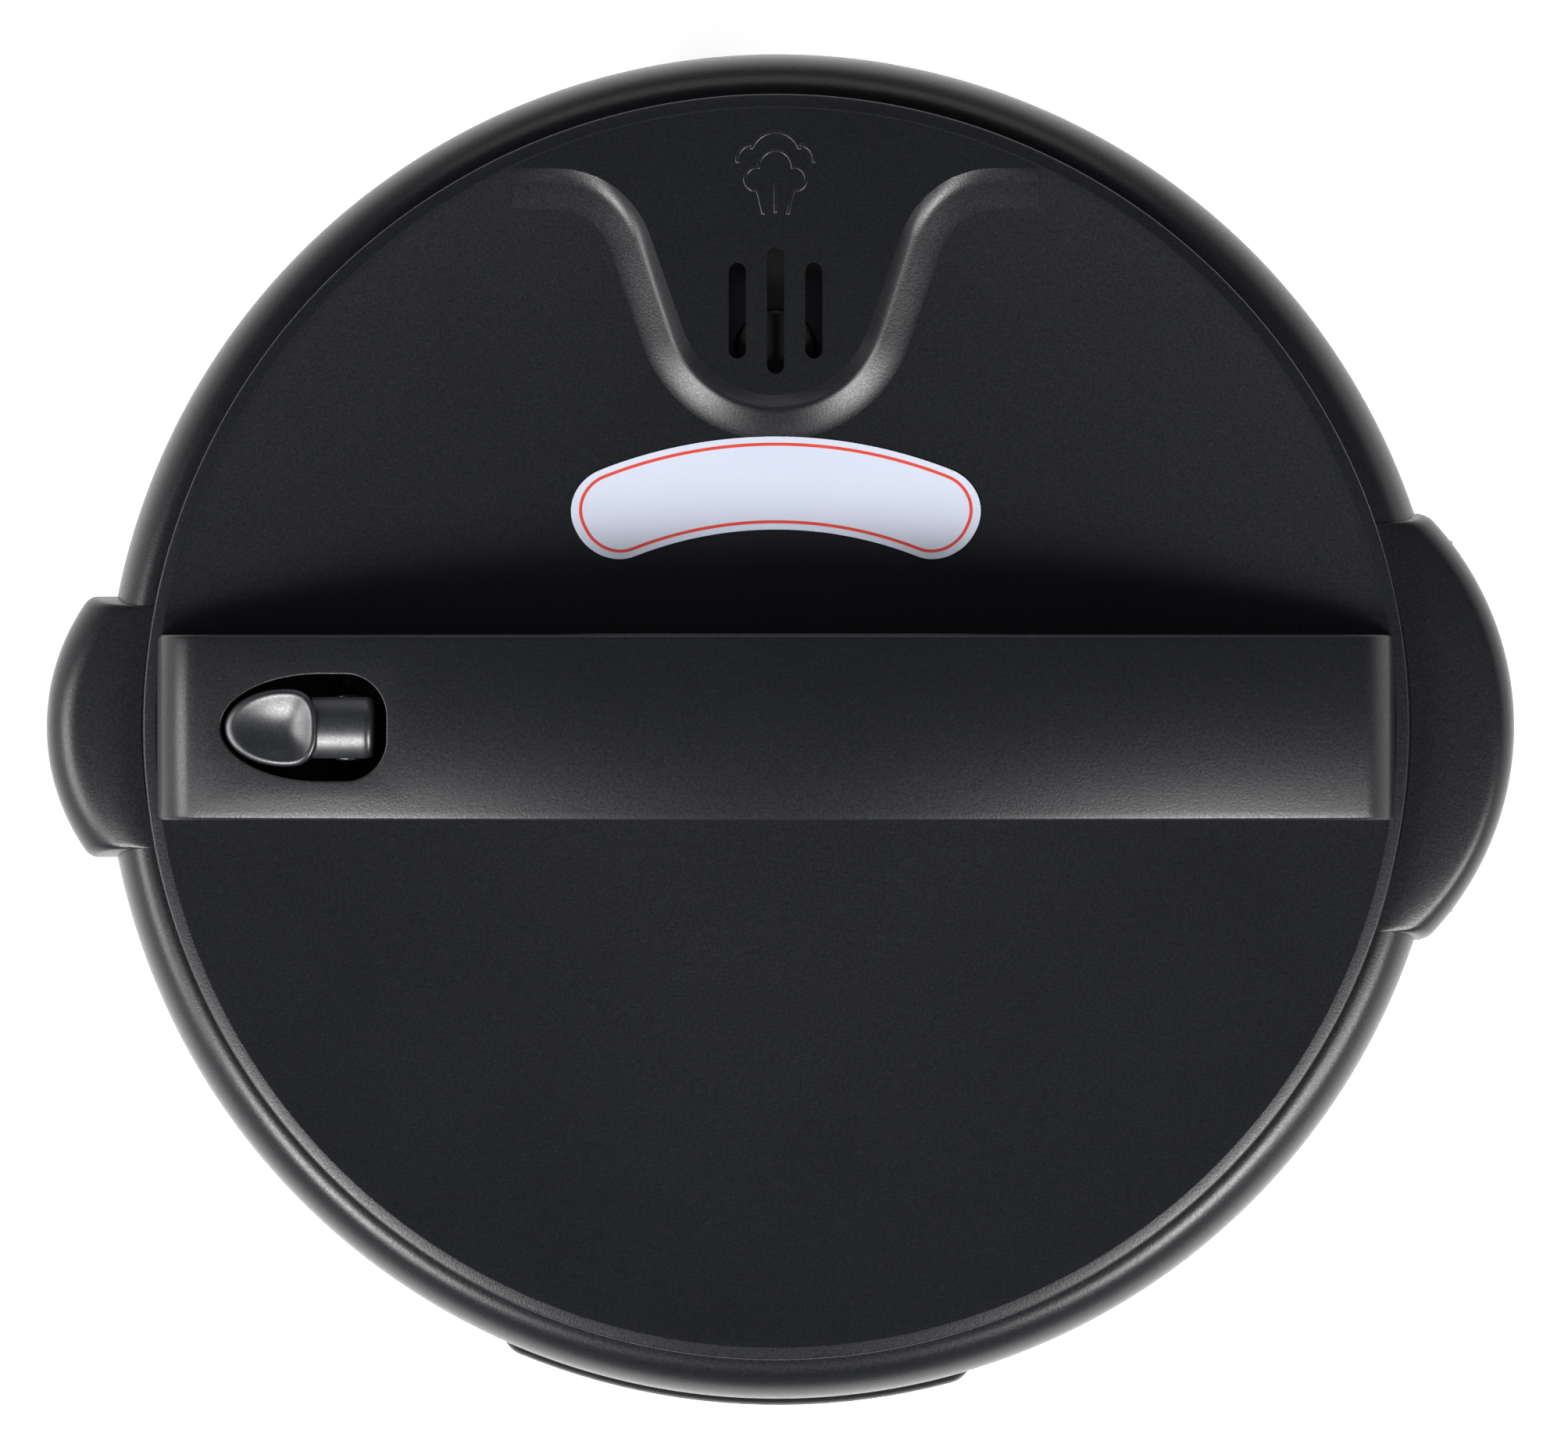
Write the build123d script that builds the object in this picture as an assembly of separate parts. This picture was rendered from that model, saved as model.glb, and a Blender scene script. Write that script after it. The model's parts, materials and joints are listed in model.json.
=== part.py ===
from build123d import *
from math import asin, atan2, cos, degrees, hypot, radians, sin, sqrt
import os

# Electric pressure cooker of the six-litre class, with a bayonet lid, a bar handle across the lid,
# a thumb button that lifts the pressure valve, two side handles and a control panel at the front.
# Units are millimetres. +Z is up, +X is to the right, the control panel faces -Y, and the origin is
# the middle of the footprint, on the table. The lid is closed and locked, and every body is at rest.

# ---- Clearances ----------------------------------------------------------------------------------
body_gap = 0.35          # between two pieces that move against each other
seat_gap = 0.1           # between a piece and the curved seat it stands on
shaft_gap = 0.05         # radial, between a pin and the hole that turns on it

# ---- Heights and wall thicknesses, from the table up ---------------------------------------------
foot_height = 8.0
bottom_cover_thickness = 1.2
housing_skirt = 2.0      # how far the housing wall reaches below the bottom cover
housing_wall = 2.5
housing_height = 44.0
housing_rebate = 6.0     # depth of the seat that holds the body shell
shell_wall = 0.6
pot_floor_height = 54.0  # outer pot's underside above the bottom cover
outer_pot_wall = 1.5
pot_bend = 0.8           # bend radius under the outer pot's flange
plate_leg_height = 3.0
plate_thickness = 12.0
inner_pot_wall = 1.0
inner_pot_floor = 3.0
inner_pot_height = 160.5
pot_flange_thickness = 2.0
tooth_thickness = 2.0
seal_height = 12.0
lid_plate_thickness = 1.2
lid_plate_bend = 2.5
lever_space = 11.0       # between the lid plate and the underside of the lid cover
cover_wall = 2.5
dish_depth = 8.0
handle_rise = 36.0       # crest of the bar handle above the bottom of the dish
handle_end_rise = 19.0   # the same, at the bar's ends
lid_edge_height = 4.6
lid_bevel_drop = 4.4

# ---- Radii and widths, from the pot outward ------------------------------------------------------
inner_pot_radius = 110.0     # inside
inner_lip_reach = 10.0
pot_room = 3.0               # between the walls of the two pots
pot_flange_width = 7.5
tooth_length = 8.0
tooth_count = 6
tooth_arc = 26.0
lid_skirt_gap = 1.8
lid_tooth_reach = 7.3
moat_width = 5.0
moat_wall = 2.5
shell_room = 5.9             # between the moat's outer wall and the shell
housing_step = 2.0           # how far the housing stands out from the shell
housing_foot_inset = 6.5
ring_overhang = 7.0          # how far the upper ring stands out from the shell
ring_shoulder_width = 6.0
ring_lip_width = 7.0
ring_lip_step = 1.0
ring_wall = 2.5
ring_shoulder_drop = 14.5
ring_height = 38.5
ring_foot_inset = 1.4
lid_overlap = 2.6            # of the lid cover over the ring's lip
lid_bevel_width = 3.6
dish_flat_radius = 54.0

# ---- Bar handle on the lid -----------------------------------------------------------------------
bar_half_width = 21.0
bar_end_gap = 0.4            # between the bar's ends and the edge of the dish
bar_corner = 5.0
bar_end_round = 9.0
bar_crown = 1.8              # how much lower its long edges are than its middle line
bar_edge_round = 2.5
bar_edge_trim = 0.3          # the sides cut this much into the rounding, which leaves a crisp edge
bar_wall = 2.5
handle_screw_setback = 40.6  # of the right screws from the bar's end
handle_screw_gap = 13.1      # of the left screws from the button well
handle_screw_y = 12.0
stud_x = 46.0
stud_y = 11.0

# ---- Vent tongue, the raised floor at the rear of the lid ----------------------------------------
tongue_length = 29.4         # from the middle of its rounded front to the top of its flares
tongue_radius = 22.2
tongue_side_angle = 19.5     # of its straight sides, from the Y direction
flare_radius = 22.6
flare_setback = 14.0         # of the flares' top from the edge of the dish
tongue_slope = 0.95           # run of its sloped side per millimetre of drop
slot_width = 3.9
slot_pitch = 8.7
slot_setback = 3.0           # of the slots' middle from the middle of the rounded front
slot_lengths = (21.8, 28.7, 21.8)

# ---- Release button, lever and pressure valve ----------------------------------------------------
well_setback = 38.6          # of the egg-shaped well's widest place from the bar's left end
well_nose = 23.1
well_blunt = 14.9
well_half_width = 12.0
well_corner = 9.5
well_skirt_wall = 1.5
well_skirt_depth = 14.0
button_gap = 0.9
button_rear_gap = 2.1        # extra room at the blunt end
button_depth = 7.0
button_recess = 0.6
pad_length = 21.0
pad_scoop_radius = 26.0
pad_scoop_depth = 1.9
neck_radius = 11.6
button_pivot_offset = 6.0    # of the pivot from the well's widest place, towards the blunt end
button_pivot_drop = 8.6      # of the pivot below the bar's surface
pin_radius = 1.5
hub_radius = 3.2
button_tail_offset = 10.0    # of the tail from the same place, towards the nose
button_tail_radius = 2.0
button_press = 7.0           # degrees
spring_seat_drop = 2.2       # of the spring's boss below the rim of the dish
button_spring_offset = 16.0  # of the spring, the same way
button_spring_radius = 2.8
button_spring_wire = 0.4     # radius of the wire
button_spring_turns = 4
valve_setback = 11.6         # of the valve from the middle of the tongue's rounded front
lever_thickness = 2.5
lever_width = 8.0
lever_gap = 0.3
bracket_wall = 1.5
weight_radius = 9.5
weight_height = 8.9
nozzle_radius = 4.0
nozzle_bore = 1.5
nozzle_height = 10.5
nozzle_flange_radius = 7.0
nozzle_flange = 1.5
nozzle_thread_radius = 5.0
nozzle_thread_length = 6.0
cap_radius = 11.5
cap_height = 9.5
cap_wall = 1.0

# ---- Float valve ---------------------------------------------------------------------------------
float_setback = 16.0         # of the float valve inside the edge of the inner pot's lip
float_angle = 60.0
float_pin_radius = 3.65
float_head_radius = 5.6
float_seat_radius = 6.5
float_seat_height = 3.0
float_travel = 3.5
gasket_radius = 5.5
gasket_height = 3.0

# ---- Side handles --------------------------------------------------------------------------------
left_overhang = 13.0         # beyond the upper ring
left_round = 50.0
left_half_width = 30.0
right_overhang = 14.5
right_round = 70.0
right_half_width = 49.2
side_handle_depth = 27.0
side_handle_wall = 3.0
side_handle_fall = 2.4       # of its top, from the ring to the rounded edge
side_handle_edge = 8.0       # radius of the rounded outer edge
side_handle_slope = 3.0      # inward lean of its end faces, in millimetres
side_boss_radius = 4.0
side_screw_seat = 0.9        # of the flat screw heads inside the ring's curved wall

# ---- Control panel -------------------------------------------------------------------------------
panel_turn = -3.75           # degrees about Z, from straight ahead
panel_depth = 12.5           # how far it stands out from the shell
panel_half_angle = 21.15
panel_opening_half_angle = 13.0   # of the opening behind it in the shell
panel_end_round = 7.0
panel_edge_round = 3.0
panel_wall = 2.5
panel_foot_gap = 12.0        # above the housing
panel_top_gap = 8.2          # below the upper ring
panel_margin = 13.0
face_half_angle = 17.0
face_thickness = 0.8
window_half_angle = 12.8
window_height = 32.0
window_drop = 27.0           # of the display window below the panel's upper edge
board_thickness = 1.6
board_half_width = 38.0
board_margin = 8.0           # of the control board inside the panel housing, top and bottom
display_gap = 0.7            # between the display's front corners and the window
display_half_width = 30.0
key_radius = 6.5
key_angle = 8.5
key_low_margin = 11.0        # of the lowest keys' middle above the panel face's lower edge
key_high_margin = 27.0       # of the highest keys' middle below the window
key_travel = 0.8
key_proud = 0.6
key_flange = 1.4
key_flange_thickness = 1.0

# ---- Screws --------------------------------------------------------------------------------------
screw_radius = 2.0
screw_head_radius = 3.8
screw_head_height = 2.0
screw_recess = 1.2           # radius and depth of the driver's hole in a head
small_screw_radius = 1.5
small_head_radius = 2.8
small_head_height = 1.6
stud_radius = 2.5
nut_height = 4.0
nut_flat_radius = 4.6

# ---- Base fittings -------------------------------------------------------------------------------
foot_radius = 12.0
foot_inset = 26.0            # of the feet inside the bottom cover's edge
foot_stem_radius = 4.0
foot_stem_height = 3.0       # above the bottom cover
foot_barb = 1.0
bottom_cover_inset = 5.5     # inside the housing's lower edge
cooling_slot = (50.0, 4.0)
cooling_slot_y = 30.0
cooling_slot_pitch = 15.0
cooling_slot_half_count = 4
housing_flange_lap = 10.0    # over the bottom cover
bottom_screw_inset = 5.0
bottom_boss_height = 12.0
bottom_boss_radius = 4.5
tie_rod_inset = 4.0          # inside the moat's outer wall
tie_rod_radius = 2.5
tie_rod_head_radius = 4.5
tie_rod_head_height = 3.0
plate_inset = 14.0           # of the heating plate inside the inner pot's wall
plate_leg_radius = 5.0
plate_leg_inset = 12.0
element_ring_radius = 65.0
element_radius = 4.0
element_rise = 2.0           # of the heater's middle above the plate's underside
element_gap_angle = 20.0
terminal_radius = 3.0
terminal_length = 16.0
sensor_radius = 10.0
sensor_length = 20.0
sensor_wall = 1.2
sensor_hole_radius = 12.0
sensor_bracket_depth = 14.0
sensor_bracket_wall = 1.2
sensor_flange = (6.0, 1.5)   # width and thickness
switch_size = (34.0, 14.0, 10.0)
switch_strap = (48.0, 10.0, 3.0)
switch_y = 31.0
sensor_spring_wire = 0.8
sensor_spring_turns = 6
socket_half_width = 13.8
socket_half_height = 9.8
socket_rise = 23.0           # of its middle above the housing's lower edge
socket_depth = 24.0
socket_cavity = (11.9, 8.1, 15.5)      # half width, half height and depth of the plug's recess
socket_flange = 3.2
socket_flange_thickness = 2.0
inlet_pin_pitch = 7.0
power_board_size = (100.0, 70.0)
power_board_y = -15.0
board_post_height = 9.0
board_post_radius = 4.0
collector_gap = 2.2          # between the cup's bracket and the upper ring
collector_lip = 4.0          # of the bracket above the cup
cup_height = 60.0
cup_half_angle = 10.5
cup_depth = 8.4
cup_wall = 1.5
rail_half_angle = 13.0
rail_thickness = 1.2
cup_flange_angle = 1.1
cup_flange_thickness = 1.4
drain_half_width = 5.0
label_thickness = 0.3
label_radii = (88.0, 109.2)
label_half_angle = 27.5
label_setback = 140.5        # of its centre from the middle of the tongue's rounded front

# ---- Levels that follow from the sizes above -----------------------------------------------------
bottom_cover_top = foot_height + bottom_cover_thickness
housing_low = foot_height - housing_skirt
housing_top = housing_low + housing_height
shell_low = housing_top - housing_rebate
outer_pot_low = foot_height + pot_floor_height
outer_pot_floor = outer_pot_low + outer_pot_wall
plate_low = outer_pot_floor + plate_leg_height
plate_top = plate_low + plate_thickness
inner_floor = plate_top + inner_pot_floor
inner_lip_top = plate_top + inner_pot_height
pot_rim = inner_lip_top - inner_pot_wall
pot_rim_low = pot_rim - pot_flange_thickness
lid_tooth_top = pot_rim_low - body_gap
lid_plate_low = inner_lip_top + body_gap + seal_height
lid_plate_top = lid_plate_low + lid_plate_thickness
dish_low = lid_plate_top + lever_space + cover_wall
dish_rim = dish_low + dish_depth
bar_crest = dish_low + handle_rise
lid_edge_low = dish_rim - lid_bevel_drop - lid_edge_height
ring_top = lid_edge_low - body_gap
ring_low = ring_top - ring_height
moat_floor_low = lid_tooth_top - tooth_thickness - moat_wall - 2.0
shell_top = ring_low + 10.0
panel_low = housing_top + panel_foot_gap
panel_height = ring_low - panel_top_gap - panel_low
collector_low = ring_low - collector_gap - collector_lip - cup_height
socket_centre_z = housing_low + socket_rise

# ---- Radii that follow ---------------------------------------------------------------------------
inner_pot_outside = inner_pot_radius + inner_pot_wall
inner_lip_radius = inner_pot_outside + inner_lip_reach
outer_pot_radius = inner_pot_outside + pot_room
outer_pot_outside = outer_pot_radius + outer_pot_wall
flange_radius = outer_pot_outside + pot_flange_width
tooth_radius = flange_radius + tooth_length
lid_skirt_inside = tooth_radius + lid_skirt_gap
lid_skirt_outside = lid_skirt_inside + lid_plate_thickness
moat_radius = lid_skirt_outside + moat_width
moat_upstand_radius = outer_pot_outside + moat_wall
shell_radius = moat_radius + moat_wall + shell_room + shell_wall
housing_radius = shell_radius + housing_step
housing_foot_radius = housing_radius - housing_foot_inset
housing_inside = housing_radius - housing_wall
ring_radius = shell_radius + ring_overhang
ring_lip_radius = ring_radius - ring_shoulder_width
ring_inner_radius = ring_lip_radius - ring_lip_width
lid_radius = ring_inner_radius + lid_overlap
dish_radius = lid_radius - lid_bevel_width
panel_radius = shell_radius + panel_depth
plate_radius = inner_pot_radius - plate_inset
bottom_cover_radius = housing_foot_radius - bottom_cover_inset
housing_flange_radius = bottom_cover_radius - housing_flange_lap
bottom_screw_ring = bottom_cover_radius - bottom_screw_inset
foot_ring_radius = bottom_cover_radius - foot_inset
tie_rod_ring = moat_radius - tie_rod_inset
float_radius_place = inner_lip_radius - float_setback
left_reach = ring_radius + left_overhang
right_reach = ring_radius + right_overhang
shell_seat_radius = shell_radius + seat_gap
screw_hole = screw_radius + seat_gap
small_screw_hole = small_screw_radius + seat_gap

# ---- Places --------------------------------------------------------------------------------------
bar_half_length = dish_radius - bar_end_gap
well_x = well_setback - bar_half_length
button_pivot_x = well_x + button_pivot_offset
button_tail_x = well_x - button_tail_offset
button_spring_x = well_x - button_spring_offset
flare_top_y = dish_radius - flare_setback
tongue_centre_y = flare_top_y - tongue_length
slot_middle_y = tongue_centre_y - slot_setback
valve_y = tongue_centre_y - valve_setback
label_centre_y = tongue_centre_y - label_setback
foot_angles = (45, 135, 225, 315)
bottom_screw_angles = (22.5, 112.5, 202.5, 292.5)
tie_rod_angles = (67.5, 157.5, 247.5, 337.5)
stud_places = [(i * stud_x, j * stud_y) for i in (-1, 1) for j in (-1, 1)]
handle_screw_xs = (well_x + well_blunt + handle_screw_gap, bar_half_length - handle_screw_setback)
handle_screw_places = [(x, side * handle_screw_y) for x in handle_screw_xs for side in (-1, 1)]
plate_leg_angles = (90, 210, 330)
tooth_angles = [tooth * 360 / tooth_count for tooth in range(tooth_count)]


# ---- Small helpers -------------------------------------------------------------------------------
def profile(*corners):
    """Closed face from corners (x, y) or (x, y, corner radius)."""
    points = [(corner[0], corner[1]) for corner in corners]
    radii = [corner[2] if len(corner) == 3 else 0 for corner in corners]
    if any(radii):
        return make_face(FilletPolyline(*points, radius=radii, close=True))
    return Polygon(*points, align=None)


def turned(*corners):
    """Solid of revolution about Z from corners (radius, height) or (radius, height, corner radius)."""
    return revolve(Plane.XZ * profile(*corners), Axis.Z)


def rod(radius, low, high, at=(0, 0)):
    """Upright cylinder between two heights."""
    upright = Cylinder(radius, high - low, align=(Align.CENTER, Align.CENTER, Align.MIN))
    return Pos(at[0], at[1], low) * upright


def pipe(outside, inside, low, high, at=(0, 0)):
    """Upright tube between two heights."""
    return rod(outside, low, high, at) - rod(inside, low, high, at)


def block(x_span, y_span, z_span):
    """Box between pairs of coordinates."""
    spans = (x_span, y_span, z_span)
    middle = [(low + high) / 2 for low, high in spans]
    size = [high - low for low, high in spans]
    return Pos(*middle) * Box(*size)


def about(middle, size):
    """Pair of coordinates that lie evenly about a middle."""
    return (middle - size / 2, middle + size / 2)


def sector(r_span, angle_span, z_span):
    """Part of a round wall, with angles in degrees from +X."""
    (near, far), (start, end), (low, high) = r_span, angle_span, z_span
    wall = turned_arc(profile((near, low), (far, low), (far, high), (near, high)), end - start)
    return Rot(0, 0, start) * wall


def turned_arc(face, angle):
    """Face drawn as (radius, height), revolved from +X through an angle."""
    return revolve(Plane.XZ * face, Axis.Z, revolution_arc=angle)


def polar(radius, angle):
    """Plan position at a radius and an angle in degrees from +X."""
    return (radius * cos(radians(angle)), radius * sin(radians(angle)))


def radial_rod(radius, near, far, angle, height):
    """Cylinder that lies along a radius of the cooker."""
    lying = Pos(near, 0, height) * Rot(0, 90, 0)
    shaft = Cylinder(radius, far - near, align=(Align.CENTER, Align.CENTER, Align.MIN))
    return Rot(0, 0, angle) * lying * shaft


def cross_rod(radius, x, z, y_span):
    """Cylinder that lies along Y."""
    length = y_span[1] - y_span[0]
    return Pos(x, (y_span[0] + y_span[1]) / 2, z) * Rot(90, 0, 0) * Cylinder(radius, length)


def coil(radius, wire, low, high, turns):
    """Compression spring standing between two heights, wire ends cut square."""
    rise = high - low - 2 * wire
    path = Pos(0, 0, low + wire) * Helix(rise / turns, rise, radius)
    section = Plane(path @ 0, z_dir=path % 0) * Circle(wire)
    return sweep(section, path=path, is_frenet=True)


def hexagon(flat_radius, low, high, at):
    """Hexagonal prism, by the radius to its flats."""
    return Pos(at[0], at[1], low) * extrude(RegularPolygon(flat_radius, 6, major_radius=False), high - low)


# ---- Base: feet, bottom and body -----------------------------------------------------------------
def feet():
    """Rubber feet pushed through the bottom cover, each with a barb on its stem."""
    stem = foot_stem_radius
    stem_top = bottom_cover_top + foot_stem_height
    foot = turned(
        (0, 0), (foot_radius - 2, 0), (foot_radius, 2, 1), (foot_radius, foot_height),
        (stem, foot_height), (stem, bottom_cover_top + seat_gap),
        (stem + foot_barb, bottom_cover_top + 6 * seat_gap), (stem - foot_barb, stem_top), (0, stem_top),
    )
    return [Pos(*polar(foot_ring_radius, angle), 0) * foot for angle in foot_angles]


def bottom_cover():
    """Steel bottom cover with cooling slots."""
    cover = rod(bottom_cover_radius, foot_height, bottom_cover_top)
    for angle in foot_angles:
        at = polar(foot_ring_radius, angle)
        cover -= rod(foot_stem_radius + seat_gap, foot_height, bottom_cover_top, at)
    for angle in bottom_screw_angles:
        cover -= rod(screw_hole, foot_height, bottom_cover_top, polar(bottom_screw_ring, angle))
    slot_face = SlotOverall(*cooling_slot, rotation=90)
    for index in range(-cooling_slot_half_count, cooling_slot_half_count + 1):
        at = Pos(index * cooling_slot_pitch, cooling_slot_y, foot_height)
        slot = at * extrude(slot_face, bottom_cover_thickness)
        cover -= slot
        cover -= mirror(slot, Plane.XZ)
    return cover


def bottom_screws():
    """Screws that hold the bottom cover to the housing."""
    return [cover_screw(polar(bottom_screw_ring, angle)) for angle in bottom_screw_angles]


def cover_screw(at):
    """One pan-head screw pointing up through the bottom cover."""
    head_low = foot_height - screw_head_height
    head = rod(screw_head_radius, head_low, foot_height, at)
    head -= rod(screw_recess, head_low, head_low + screw_recess, at)
    return head + rod(screw_radius, foot_height, bottom_cover_top + bottom_boss_height - 1, at)


def base_housing():
    """Moulded tub round the foot of the cooker, with the seat for the steel shell."""
    flange_top = bottom_cover_top + housing_wall
    housing = turned(
        (housing_foot_radius, housing_low), (housing_radius, housing_low + 16, 20),
        (housing_radius, housing_top, 0.8), (shell_seat_radius, housing_top),
        (shell_seat_radius, shell_low),
        (housing_inside, shell_low), (housing_inside, housing_low + 17, 18),
        (housing_foot_radius - housing_wall + 0.8, flange_top), (housing_flange_radius, flange_top),
        (housing_flange_radius, bottom_cover_top), (bottom_cover_radius + 1, bottom_cover_top),
        (housing_foot_radius - housing_wall, housing_low),
    )
    for angle in bottom_screw_angles:
        at = polar(bottom_screw_ring, angle)
        housing += rod(bottom_boss_radius, bottom_cover_top, bottom_cover_top + bottom_boss_height, at)
        housing -= rod(screw_hole, bottom_cover_top, bottom_cover_top + bottom_boss_height, at)
    for angle in tie_rod_angles:
        housing -= rod(tie_rod_radius + seat_gap, bottom_cover_top, flange_top, polar(tie_rod_ring, angle))
    half_width = socket_half_width + seat_gap
    half_height = socket_half_height + seat_gap
    z_span = (socket_centre_z - half_height, socket_centre_z + half_height)
    y_span = (housing_inside - socket_depth, housing_radius + socket_depth)
    return housing - block((-half_width, half_width), y_span, z_span)


def body_shell():
    """Brushed steel shell between the housing and the upper ring."""
    shell = pipe(shell_radius, shell_radius - shell_wall, shell_low, shell_top)
    z_span = (panel_low + panel_margin, panel_low + panel_height - panel_margin)
    angle_span = about(270, 2 * panel_opening_half_angle)
    window = sector(about(shell_radius, 6), angle_span, z_span)
    shell -= Rot(0, 0, panel_turn) * window
    notch = (ring_low - 2, shell_top)
    half_notch = drain_half_width + cup_wall + 1
    shell -= block((-half_notch, half_notch), (shell_radius - 4, shell_radius + 4), notch)
    for angle, height in shell_screw_places():
        shell -= radial_rod(small_screw_hole, shell_radius - 3, shell_radius + 3, angle, height)
    return shell


def shell_screw_places():
    """Angle and height of every small screw through the shell, for the panel and the cup bracket."""
    low, high = panel_low + 8, panel_low + panel_height - 8
    panel = [(270 + panel_turn + side * 17.5, height) for side in (-1, 1) for height in (low, high)]
    bracket = [(90, collector_low + 12), (90, collector_low + cup_height - 12)]
    return panel + bracket


def shell_screws():
    """Small screws put in from inside the shell."""
    near = shell_radius - shell_wall
    screws = []
    for angle, height in shell_screw_places():
        reach = shell_radius + rail_thickness if angle == 90 else shell_radius + 7
        screw = radial_rod(small_head_radius, near - small_head_height, near - seat_gap / 2, angle, height)
        screws.append(screw + radial_rod(small_screw_radius, near - small_head_height, reach, angle, height))
    return screws


def tie_rods():
    """Long screws that clamp the shell between the housing and the upper ring."""
    rods = []
    head_low = bottom_cover_top + housing_wall + seat_gap / 2
    for angle in tie_rod_angles:
        at = polar(tie_rod_ring, angle)
        shaft = rod(tie_rod_radius, bottom_cover_top, moat_floor_low, at)
        rods.append(shaft + rod(tie_rod_head_radius, head_low, head_low + tie_rod_head_height, at))
    return rods


def ring_outline():
    """Section of the upper ring as (radius, height) corners, round its moulded wall."""
    floor = moat_floor_low + moat_wall
    widest = ring_top - ring_shoulder_drop
    shoulder = ring_top - ring_lip_step
    inside = ring_radius - ring_wall
    return (
        (outer_pot_outside + pot_bend, moat_floor_low), (outer_pot_outside + pot_bend, pot_rim_low),
        (moat_upstand_radius, pot_rim_low), (moat_upstand_radius, floor, 0.8), (moat_radius, floor, 1.5),
        (moat_radius, ring_top - 6.5), (ring_inner_radius, ring_top, 1.2), (ring_lip_radius, ring_top, 0.6),
        (ring_lip_radius + 0.2, shoulder), (ring_radius, shoulder - 0.8, 6.5), (ring_radius, widest, 60),
        (ring_radius - ring_foot_inset, ring_low, 0.8), (shell_radius + 0.3, ring_low),
        (shell_radius + 0.3, ring_low + ring_wall), (inside - ring_foot_inset, ring_low + ring_wall),
        (inside, widest, 60), (inside, shoulder - ring_wall - 0.8, 5),
        (ring_inner_radius + 1.5, ring_top - ring_wall),
        (moat_radius + moat_wall, ring_top - 8), (moat_radius + moat_wall, moat_floor_low),
    )


def ring_envelope(extra):
    """Everything inside the ring's outer surface, grown by a small gap, to cut what sits on the ring."""
    widest = ring_top - ring_shoulder_drop
    shoulder = ring_top - ring_lip_step
    return turned(
        (0, ring_low - 20), (ring_radius - ring_foot_inset + extra, ring_low - 20),
        (ring_radius - ring_foot_inset + extra, ring_low), (ring_radius + extra, widest, 60),
        (ring_radius + extra, shoulder - 0.8 + extra, 6.5 + extra),
        (ring_lip_radius + 0.2, shoulder + extra),
        (ring_lip_radius + 0.2 + extra, ring_top + 20), (0, ring_top + 20),
    )


def upper_ring():
    """Moulded ring round the lid, with the condensate moat, its drain and the side handles' screw holes."""
    ring = turned(*ring_outline())
    floor = moat_floor_low + moat_wall
    half = drain_half_width + cup_wall
    far = ring_radius - ring_foot_inset - 0.3
    spout = block((-half, half), (moat_radius - 1, far), (ring_low, floor + 3.5))
    channel = block(
        (-drain_half_width, drain_half_width), (moat_radius - 4, far - cup_wall), (floor, floor + 3.5)
    )
    drip = block((-drain_half_width, drain_half_width), (far - 4.5, far - cup_wall), (ring_low, floor + 1))
    ring = ring + spout - channel - drip
    for angle, height in side_screw_places():
        ring -= radial_rod(screw_hole, ring_radius - 8, ring_radius + 2, angle, height)
    for angle in tie_rod_angles:
        at = polar(tie_rod_ring, angle)
        ring -= rod(tie_rod_radius * 0.8, moat_floor_low, moat_floor_low + 1, at)
    return ring


def side_screw_places():
    """Angle and height of the side handles' screws."""
    height = ring_top - side_handle_depth + 9.0
    places = []
    for middle, half_width in ((180, left_half_width), (0, right_half_width)):
        spread = degrees(asin((half_width - side_handle_wall - side_boss_radius - 3) / ring_radius))
        places += [(middle - spread, height), (middle + spread, height)]
    return places


def side_handle_screws():
    """Screws put in from inside the ring's skirt into the side handles' bosses."""
    screws = []
    seat = ring_radius - ring_wall - side_screw_seat
    for angle, height in side_screw_places():
        head = radial_rod(screw_head_radius, seat - screw_head_height, seat, angle, height)
        screws.append(head + radial_rod(screw_radius, seat, ring_radius + 6.5, angle, height))
    return screws


def handle_puck(side, reach, rounding, half_width, inset):
    """Rounded outer form of a side handle, inset by a wall; side is -1 at the left, 1 at the right."""
    top = ring_top - 0.2 - inset
    low = ring_top - side_handle_depth - (1 if inset else 0)
    radius = rounding - inset
    puck = turned(
        (0, low), (radius, low, 0 if inset else 1.2),
        (radius, top - side_handle_fall, side_handle_edge - inset),
        (0, top + side_handle_fall * 0.4),
    )
    half = half_width - inset
    lean = side_handle_slope
    ends = profile(
        (-half, low - 1), (half, low - 1), (half, top - 10), (half - lean, top + 4), (-half + lean, top + 4),
        (-half, top - 10),
    )
    prism = extrude(Plane.YZ * ends, 200, both=True)
    return (Pos(side * (reach - rounding), 0, 0) * puck) & prism


def side_handle(side, reach, rounding, half_width):
    """Side handle: a hollow ear seated on the ring, open below for the fingers, with two screw bosses."""
    outside = handle_puck(side, reach, rounding, half_width, 0)
    hollow = handle_puck(side, reach, rounding, half_width, side_handle_wall)
    handle = outside - hollow
    middle = 180 if side < 0 else 0
    for angle, height in side_screw_places():
        if (angle - middle + 90) % 360 < 180:
            boss = radial_rod(side_boss_radius, ring_radius - 4, reach, angle, height)
            handle += boss & outside
            handle -= radial_rod(screw_hole, ring_radius - 4, ring_radius + 7, angle, height)
    handle -= ring_envelope(seat_gap)
    x_span = sorted((0, side * 2 * reach))
    return largest(handle & block(x_span, about(0, 4 * half_width), (0, 2 * ring_top)))


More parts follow.
